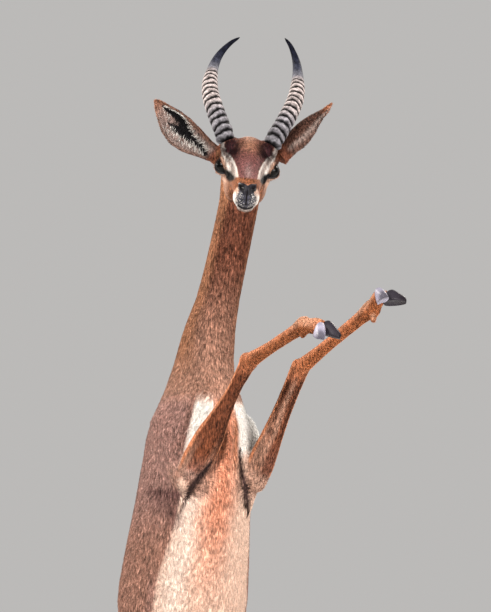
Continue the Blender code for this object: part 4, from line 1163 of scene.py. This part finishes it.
def coat_sizes(points, belongs):
    """Length and width of the tufts, and how many times they cover the skin."""
    _, forward, _ = in_head(points)
    height = points[:, 2]
    length = 0.0085 * belongs["neck"] + 0.0100 * belongs["trunk"] + 0.0130 * belongs["tail"]
    length += (0.0046 - 0.0020 * ease(0.03, 0.10, forward)) * belongs["head"]
    cover = 2.65 + 1.55 * (belongs["head"] + belongs["neck"])
    for which in SIDES:
        foot = ease(0.07, 0.02, np.linalg.norm(points - np.array(FORELEGS[which]["fetlock"]), axis=1))
        length += 0.0095 * belongs["shoulder_" + which] + 0.0044 * belongs["ear_" + which]
        length += (0.0065 - 0.0022 * foot) * belongs["foreleg_" + which]
        length += (0.0060 + 0.0050 * ease(0.45, 0.70, height)) * belongs["hind_leg_" + which]
    return length, length * 0.10 + 0.0003, cover * 1


def skin_triangles(skin):
    """Corners of the skin's triangles, as vertices and as places on its unwrap."""
    mesh = skin.data
    mesh.calc_loop_triangles()
    corners = np.empty(len(mesh.loop_triangles) * 3, np.int32)
    mesh.loop_triangles.foreach_get("vertices", corners)
    loops = np.empty(len(corners), np.int32)
    mesh.loop_triangles.foreach_get("loops", loops)
    unwrap = np.empty(len(mesh.loops) * 2, np.float32)
    mesh.uv_layers["OFBake"].uv.foreach_get("vector", unwrap)
    return corners.reshape(-1, 3), unwrap.reshape(-1, 2)[loops.reshape(-1, 3)]


def sow(skin, rng):
    """Roots for the tufts, spread over the skin by how dense the coat is at each place."""
    points = places(skin)
    corners, unwrap = skin_triangles(skin)
    a, b, c = (points[corners[:, k]] for k in range(3))
    area = np.linalg.norm(np.cross(b - a, c - a), axis=1) / 2
    middles = (a + b + c) / 3
    _, belongs = read_bones(middles)
    length, width, cover = coat_sizes(middles, belongs)
    share = area / (length * width) * cover
    chosen = rng.choice(len(corners), size=int(share.sum()), p=share / share.sum())
    weights = rng.dirichlet((1, 1, 1), size=len(chosen))
    return (
        np.einsum("nk,nkd->nd", weights, points[corners[chosen]]),
        unit(np.einsum("nk,nkd->nd", weights, normals(skin)[corners[chosen]])),
        np.einsum("nk,nkd->nd", weights, unwrap[chosen]),
    )


def comb(roots, up, uv, rng):
    """Tufts at the roots: each lies along the body, and takes its colour from the markings."""
    tone, bare = coat_tones(roots, up)
    hairy = rng.random(len(roots)) > bare * 1.5
    roots, up, uv, tone = roots[hairy], up[hairy], uv[hairy], tone[hairy]
    total = len(roots)
    lie, belongs = read_bones(roots)
    length, width, _ = coat_sizes(roots, belongs)
    lie = unit(lie - up * np.sum(lie * up, axis=1)[:, None])
    stray = np.radians(5 * ripple(roots, 25, 3) + rng.normal(0, 4, total))[:, None]
    lie = unit(lie * np.cos(stray) + np.cross(up, lie) * np.sin(stray))
    dark = (rng.random(total) < 0.35) * rng.uniform(0.30, 0.60, total)
    pale = ease(0.12, 0.40, tone.min(axis=1))
    shade = (1 - dark * (1 - 0.88 * pale)) * (1 + rng.uniform(-0.14, 0.14, total) * (1 - 0.5 * pale))
    hairs = {
        "root": roots,
        "lie": lie,
        "up": up,
        "uv": uv,
        "length": length * rng.uniform(0.7, 1.25, total),
        "width": width,
        "lift": coat_depth(roots, belongs) * rng.uniform(0.55, 1.25, total),
        "tone": tone * shade[:, None],
    }
    return hairs, belongs


def part_coat(hairs, belongs):
    """Names of the coat's pieces, and which tufts each has."""
    in_face = (hairs["root"] - HEAD_ORIGIN) @ HEAD_LEFT
    across = hairs["root"] @ LEFT
    trunk = belongs["trunk"] + belongs["shoulder_right"] + belongs["shoulder_left"] + belongs["tail"]
    shares = {
        "head": (belongs["head"], in_face),
        "neck": (belongs["neck"], across),
        "trunk": (trunk, across),
    }
    for name in ("ear", "foreleg", "hind_leg"):
        right, left = belongs[name + "_right"], belongs[name + "_left"]
        shares[name + "s"] = (right + left, left - right)
    owner = np.argmax(np.array([share for share, _ in shares.values()]), axis=0)
    for k, (name, (_, leftward)) in enumerate(shares.items()):
        middle = np.median(leftward[owner == k]) if name in ("neck", "trunk") else 0
        yield f"coat_{name}_right", (owner == k) & (leftward < middle)
        yield f"coat_{name}_left", (owner == k) & (leftward >= middle)


def grow_coat(skin):
    rng = np.random.default_rng(COAT_SEED)
    hairs, belongs = comb(*sow(skin, rng), rng)
    for name, own in part_coat(hairs, belongs):
        piece = tufts(name, {key: values[own] for key, values in hairs.items()})
        coat_look.dress(piece, "coat")


# Horns: share of the length, and the colour of the rings' crests there, which holds a painted highlight as
# well as the horn's own colour
HORN_CRESTS = np.array([
    (0.00, 0.140, 0.135, 0.150),
    (0.22, 0.220, 0.205, 0.225),
    (0.34, 0.420, 0.360, 0.350),
    (0.60, 0.460, 0.390, 0.380),
    (0.67, 0.110, 0.110, 0.130),
    (0.74, 0.028, 0.030, 0.045),
    (0.84, 0.006, 0.007, 0.014),
    (1.00, 0.001, 0.001, 0.004),
])


def horn_tone(share, ring):
    """Colour by share of the length and by how far out on its ring a point lies: the grooves darken to near
    black, a painted shade, and the crests keep the full colour.
    """
    crest = np.stack([np.interp(share, HORN_CRESTS[:, 0], row) for row in HORN_CRESTS[:, 1:].T], axis=1)
    return crest * (0.012 + 0.988 * ring**2.2)[:, None]


def make_horn(which):
    """A horn with wavy rings that fade into its smooth tip."""
    side = SIDES[which]
    stretch = HORN_STRETCH[which]
    lean = Matrix.Rotation(HORN_LEAN, 3, Vector(-HEAD_FRONT))
    line = [head_point(side * s - sway, f * stretch, u * stretch) for s, f, u, _, sway in HORN]
    line = np.array([HEAD_ORIGIN + np.array(lean @ Vector(point - HEAD_ORIGIN)) for point in line])
    keys = np.concatenate([[0], np.cumsum(np.linalg.norm(np.diff(line, axis=0), axis=1))])
    rng = np.random.default_rng(3 + side)
    sizes = rng.uniform(0.86, 1.14, HORN_RINGS) * np.linspace(1.12, 0.90, HORN_RINGS)
    marks = np.concatenate([[0], np.cumsum(sizes)]) / sizes.sum() * HORN_RINGED_SHARE
    found = {}

    def place(share, turn):
        at = share * keys[-1]
        middle = smooth(keys, line, at)
        radius = smooth(keys, HORN[:, 3:4], at)[:, 0]
        before, after = (smooth(keys, line, np.clip(at + step, 0, keys[-1])) for step in (-0.002, 0.002))
        run = unit(after - before)
        across = unit(HEAD_LEFT - run * (run @ HEAD_LEFT)[:, None])
        other = np.cross(run, across)
        out = np.cos(turn)[:, None] * across + np.sin(turn)[:, None] * other
        front = out @ HEAD_FRONT
        tilted = share + 0.010 * np.sin(turn + side) + 0.004 * np.sin(3 * turn + share * 40)
        tilted += 0.0022 * np.sin(7 * turn + share * 90) + 0.0012 * np.sin(13 * turn - share * 160)
        number = np.clip(np.searchsorted(marks, tilted, side="right") - 1, 0, HORN_RINGS - 1)
        phase = np.clip((tilted - marks[number]) / (marks[number + 1] - marks[number]), 0, 1)
        ring = np.where(phase < 0.62, ease(0, 0.42, phase), ease(1.0, 0.62, phase) ** 0.8)
        ring *= 1 - 0.25 * hump(phase, 0.40, 0.07) * (np.sin(number * 5 + 2 * turn) > 0)
        fading = ease(HORN_RINGED_SHARE + 0.01, HORN_RINGED_SHARE - 0.05, share)
        ring = ring * fading + (1 - fading)
        depth = (0.07 + 0.075 * ease(-0.6, 0.8, front)) * ease(1.0, 0.85, 1 - fading)
        closed = np.sqrt(np.clip(np.minimum(share * 60, (1 - share) * 40), 0, 1))
        found["tone"] = horn_tone(share, ring)
        swell = 1 + depth * (ring - 0.72) * fading
        return middle + out * (radius * swell * closed)[:, None]

    horn = wrapped("horn_" + which + "_ringed", 40, 260, place)
    paint(horn, "tone", found["tone"])
    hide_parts("horn_" + which)
    return horn


# Eyes
def make_eye(which):
    """An eyeball with a slight bulge in front and a wide dark pupil."""
    centre, gaze, ahead, high = eye_frame(SIDES[which])
    found = {}

    def place(share, turn):
        theta = share * math.pi
        x, y = np.cos(turn) * np.sin(theta), np.sin(turn) * np.sin(theta)
        reach = EYE_RADIUS - 0.0004 + 0.0013 * hump(np.degrees(theta), 0, 26)
        pupil = np.hypot(x / 0.40, y / 0.20)
        tone = np.outer(ease(0.95, 1.15, pupil), (0.0020, 0.0015, 0.0012)) + 0.0006
        found["tone"] = tone * (1 - 0.85 * ease(34, 42, np.degrees(theta)))[:, None]
        towards = np.outer(x, ahead) + np.outer(y, high) + np.outer(np.cos(theta), gaze)
        return centre + reach[:, None] * towards

    eye = wrapped("eyeball_" + which, 64, 48, place)
    paint(eye, "tone", found["tone"])
    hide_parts("eye_" + which)
    return eye


# Hooves
CLAW_DARK = np.array([0.006, 0.004, 0.006])
# the claws' pale grey-blue is a painted sheen: full on the inner fore claws, faint on the outer fore claws,
# middling on the hind claws, and fading towards the toe
CLAW_SHEEN_GREY = (0.22, 0.21, 0.27)
FORE_CLAW_SHEEN = {"outer": 0.06, "inner": 1.0}
HIND_CLAW_SHEEN = 0.4


def make_claw(name, node, start, along, up, length, height, half_width, pale):
    """One claw: a curved wall over a flat sole, its toe pointing along."""
    along = unit(np.array(along, float))
    up = np.array(up, float)
    up = unit(up - along * (up @ along))
    across = np.cross(along, up)
    sole = np.array(start) - up * height / 2
    found = {}

    def place(share, turn):
        at = CLAW_PROFILE[0, 0] + (1 - CLAW_PROFILE[0, 0]) * share
        tall, wide = smooth(CLAW_PROFILE[:, 0], CLAW_PROFILE[:, 1:], at).T
        closed = np.clip(np.minimum(share, 1 - share) * 22, 0, 1) ** 0.5
        x = np.sign(np.cos(turn)) * np.abs(np.cos(turn)) ** 0.8
        z = np.where(np.sin(turn) > 0, np.abs(np.sin(turn)) ** 0.85, 0.05 * np.sin(turn) ** 2)
        # pale sets how much painted grey-blue sheen the claw gets
        found["tone"] = CLAW_DARK + np.outer(pale * ease(1.2, 0.4, at), CLAW_SHEEN_GREY)
        found["growth"] = at
        rise = height * tall * ((1 - closed) * 0.5 + closed * z)
        flat = sole + np.outer(at * length, along) + np.outer(closed * half_width * wide * x, across)
        return flat + np.outer(rise, up)

    claw = wrapped(name, 32, 40, place)
    paint(claw, "tone", found["tone"])
    note(claw, "growth", found["growth"])
    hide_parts(node)
    return claw


def make_claws():
    for which, side in SIDES.items():
        for spot, (coronet, along, up) in zip(("outer", "inner"), FORELEGS[which]["claws"]):
            start = np.array(coronet) + unit(np.array(along)) * CORONET_TO_CLAW
            sizes = (CLAW_LENGTH, CLAW_HEIGHT, CLAW_HALF_WIDTH)
            name = f"hoof_fore_{which}_{spot}"
            yield make_claw("wall_" + name, name, start, along, up, *sizes, FORE_CLAW_SHEEN[spot])
        for spot, toe in (("outer", 1), ("inner", -1)):
            inner = side * (HIND_LEG[-1, 0] + toe * HIND_CLAW_SIDE)
            start = hip_point(inner, HIND_CORONET_FORWARD, SOLE + HIND_CLAW_HEIGHT / 2)
            sizes = (HIND_CLAW_LENGTH, HIND_CLAW_HEIGHT, CLAW_HALF_WIDTH)
            name = f"hoof_hind_{which}_{spot}"
            yield make_claw("wall_" + name, name, start, FRONT, UP, *sizes, HIND_CLAW_SHEEN)


# Longer hair
EAR_TUFTS = 420
TAIL_TUFTS = 420


def ear_fringe(which, rng):
    """Pale hair inside the ear, from beside the black marks towards them."""
    total = EAR_TUFTS
    share = rng.uniform(0.10, 0.86, total)
    upper = rng.random(total) < 0.55
    _, radius, _ = ear_section(which, share)
    half = ear_half(which, share)
    top = np.interp(share, EAR_MARK_UPPER[:, 0], EAR_MARK_UPPER[:, 1] + EAR_MARK_UPPER[:, 2])
    low = np.interp(share, EAR_MARK_UPPER[:, 0], EAR_MARK_UPPER[:, 1] - EAR_MARK_UPPER[:, 2])
    low = np.where((share > 0.44) & (share < 0.70), np.minimum(low, -0.009), low)
    high_edge = np.minimum(top + 0.008, half * 0.96)
    low_edge = np.maximum(low - 0.012, -half * 0.96)
    nearest = np.where(upper, top + 0.001, low - 0.001)
    beside = nearest + (np.where(upper, high_edge, low_edge) - nearest) * rng.random(total)
    beside = np.clip(beside, -half * 0.97, half * 0.97)
    turn = np.arcsin(np.clip(beside / radius, -0.99, 0.99))
    roots, outward = on_ear(which, share, turn, -EAR_THICKNESS / 2)
    _, along, _, across, _ = ear_frame(which)
    lie = along * 0.55 + np.where(upper, -1, 1)[:, None] * across
    up = -outward
    lie = unit(lie - up * np.sum(lie * up, axis=1)[:, None])
    return {
        "root": roots,
        "lie": lie,
        "up": up,
        "uv": np.full((total, 2), 0.5),
        "length": rng.uniform(0.005, 0.011, total),
        "width": np.full(total, 0.0009),
        "lift": rng.uniform(0.0008, 0.0030, total),
        "tone": np.outer(rng.uniform(0.35, 0.80, total), TONES["white"]),
    }


def tail_tuft(rng):
    """Black hair round the lower half of the tail, none of it longer than the solid's tuft."""
    total = TAIL_TUFTS
    share = rng.uniform(0.40, 0.99, total)
    middle = on_tail(share)
    turn = rng.uniform(0, 2 * math.pi, total)
    out = np.outer(np.cos(turn), LEFT) + np.outer(np.sin(turn), FRONT)
    lie = unit(-UP + out * rng.uniform(0.02, 0.10, total)[:, None])
    room = middle[:, 2] - TAIL[-1, 1] + 0.066
    return {
        "root": middle + out * 0.004,
        "lie": lie,
        "up": unit(out - lie * np.sum(lie * out, axis=1)[:, None]),
        "uv": np.full((total, 2), 0.5),
        "length": np.minimum(rng.uniform(0.055, 0.085, total), room),
        "width": rng.uniform(0.0016, 0.0026, total),
        "lift": rng.uniform(0.000, 0.004, total),
        "tone": np.outer(rng.uniform(0.6, 1.6, total), (0.020, 0.014, 0.011)),
    }


# The pieces
skin = make_skin()
tone, bare = coat_tones(places(skin), normals(skin))
paint(skin, "tone", tone)
note(skin, "bare", bare)
skin_material().dress(skin, "coat")
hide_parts(*[name for name in FLESH if not name.startswith("eye")], "ear_right", "ear_left", "tail")

coat_look = hair_material("coat", 1.0)
grow_coat(skin)
horn_look, eye_look, hoof_look = horn_material(), eye_material(), hoof_material()
rng = np.random.default_rng(LONG_HAIR_SEED)
for which in SIDES:
    horn_look.dress(make_horn(which), "horn")
    eye_look.dress(make_eye(which), "eye")
    coat_look.dress(tufts("ear_fringe_" + which, ear_fringe(which, rng), rows=2), "ear")
for claw in make_claws():
    hoof_look.dress(claw, "hoof")
coat_look.dress(tufts("tail_tuft", tail_tuft(rng), rows=3), "tail_hair")
wood = wood_material()
for slot in frame["nodes"]["stand_base"].material_slots:
    slot.material = wood.material

# Camera, light and floor
FOCUS = np.array([0.102, 0, 1.552])
CAMERA_DISTANCE = 18
PHOTO_HEIGHT = 612
METRES_A_PIXEL = 0.00175
LIT_POINT = (0.05, 0, 1.4)

lens = bpy.data.cameras.new("camera")
camera = bpy.data.objects.new("camera", lens)
bpy.context.scene.collection.objects.link(camera)
camera.location = Vector(FOCUS) - Vector((0, CAMERA_DISTANCE, 0))
camera.rotation_euler = (math.pi / 2, 0, 0)
lens.lens = lens.sensor_width * CAMERA_DISTANCE / (PHOTO_HEIGHT * METRES_A_PIXEL)
lens.clip_end = 100
bpy.context.scene.camera = camera

bpy.context.scene.view_settings.view_transform = "Standard"
world = bpy.data.worlds.new("studio")
bpy.context.scene.world = world
world.use_nodes = True
world.node_tree.nodes["Background"].inputs["Color"].default_value = (0.50, 0.49, 0.48, 1)


def area_light(name, place, size, power, colour):
    data = bpy.data.lights.new(name, "AREA")
    data.shape = "DISK"
    data.size = size
    data.energy = power
    data.color = colour
    lamp = bpy.data.objects.new(name, data)
    bpy.context.scene.collection.objects.link(lamp)
    lamp.location = place
    lamp.rotation_euler = (Vector(LIT_POINT) - Vector(place)).to_track_quat("-Z", "Y").to_euler()


area_light("key", (-1.8, -3.8, 3.6), 1.2, 340, (1, 0.96, 0.91))
area_light("fill", (2.6, -3.4, 2.2), 2.4, 250, (1, 0.95, 0.90))
area_light("rim", (-2.4, 1.8, 3.0), 1.0, 170, (1, 0.93, 0.84))
area_light("back", (1.8, 2.2, 3.4), 1.0, 110, (1, 0.93, 0.86))

bpy.ops.mesh.primitive_plane_add(size=9, location=(0, 0, 0))
floor = bpy.context.object
floor.name = "floor"
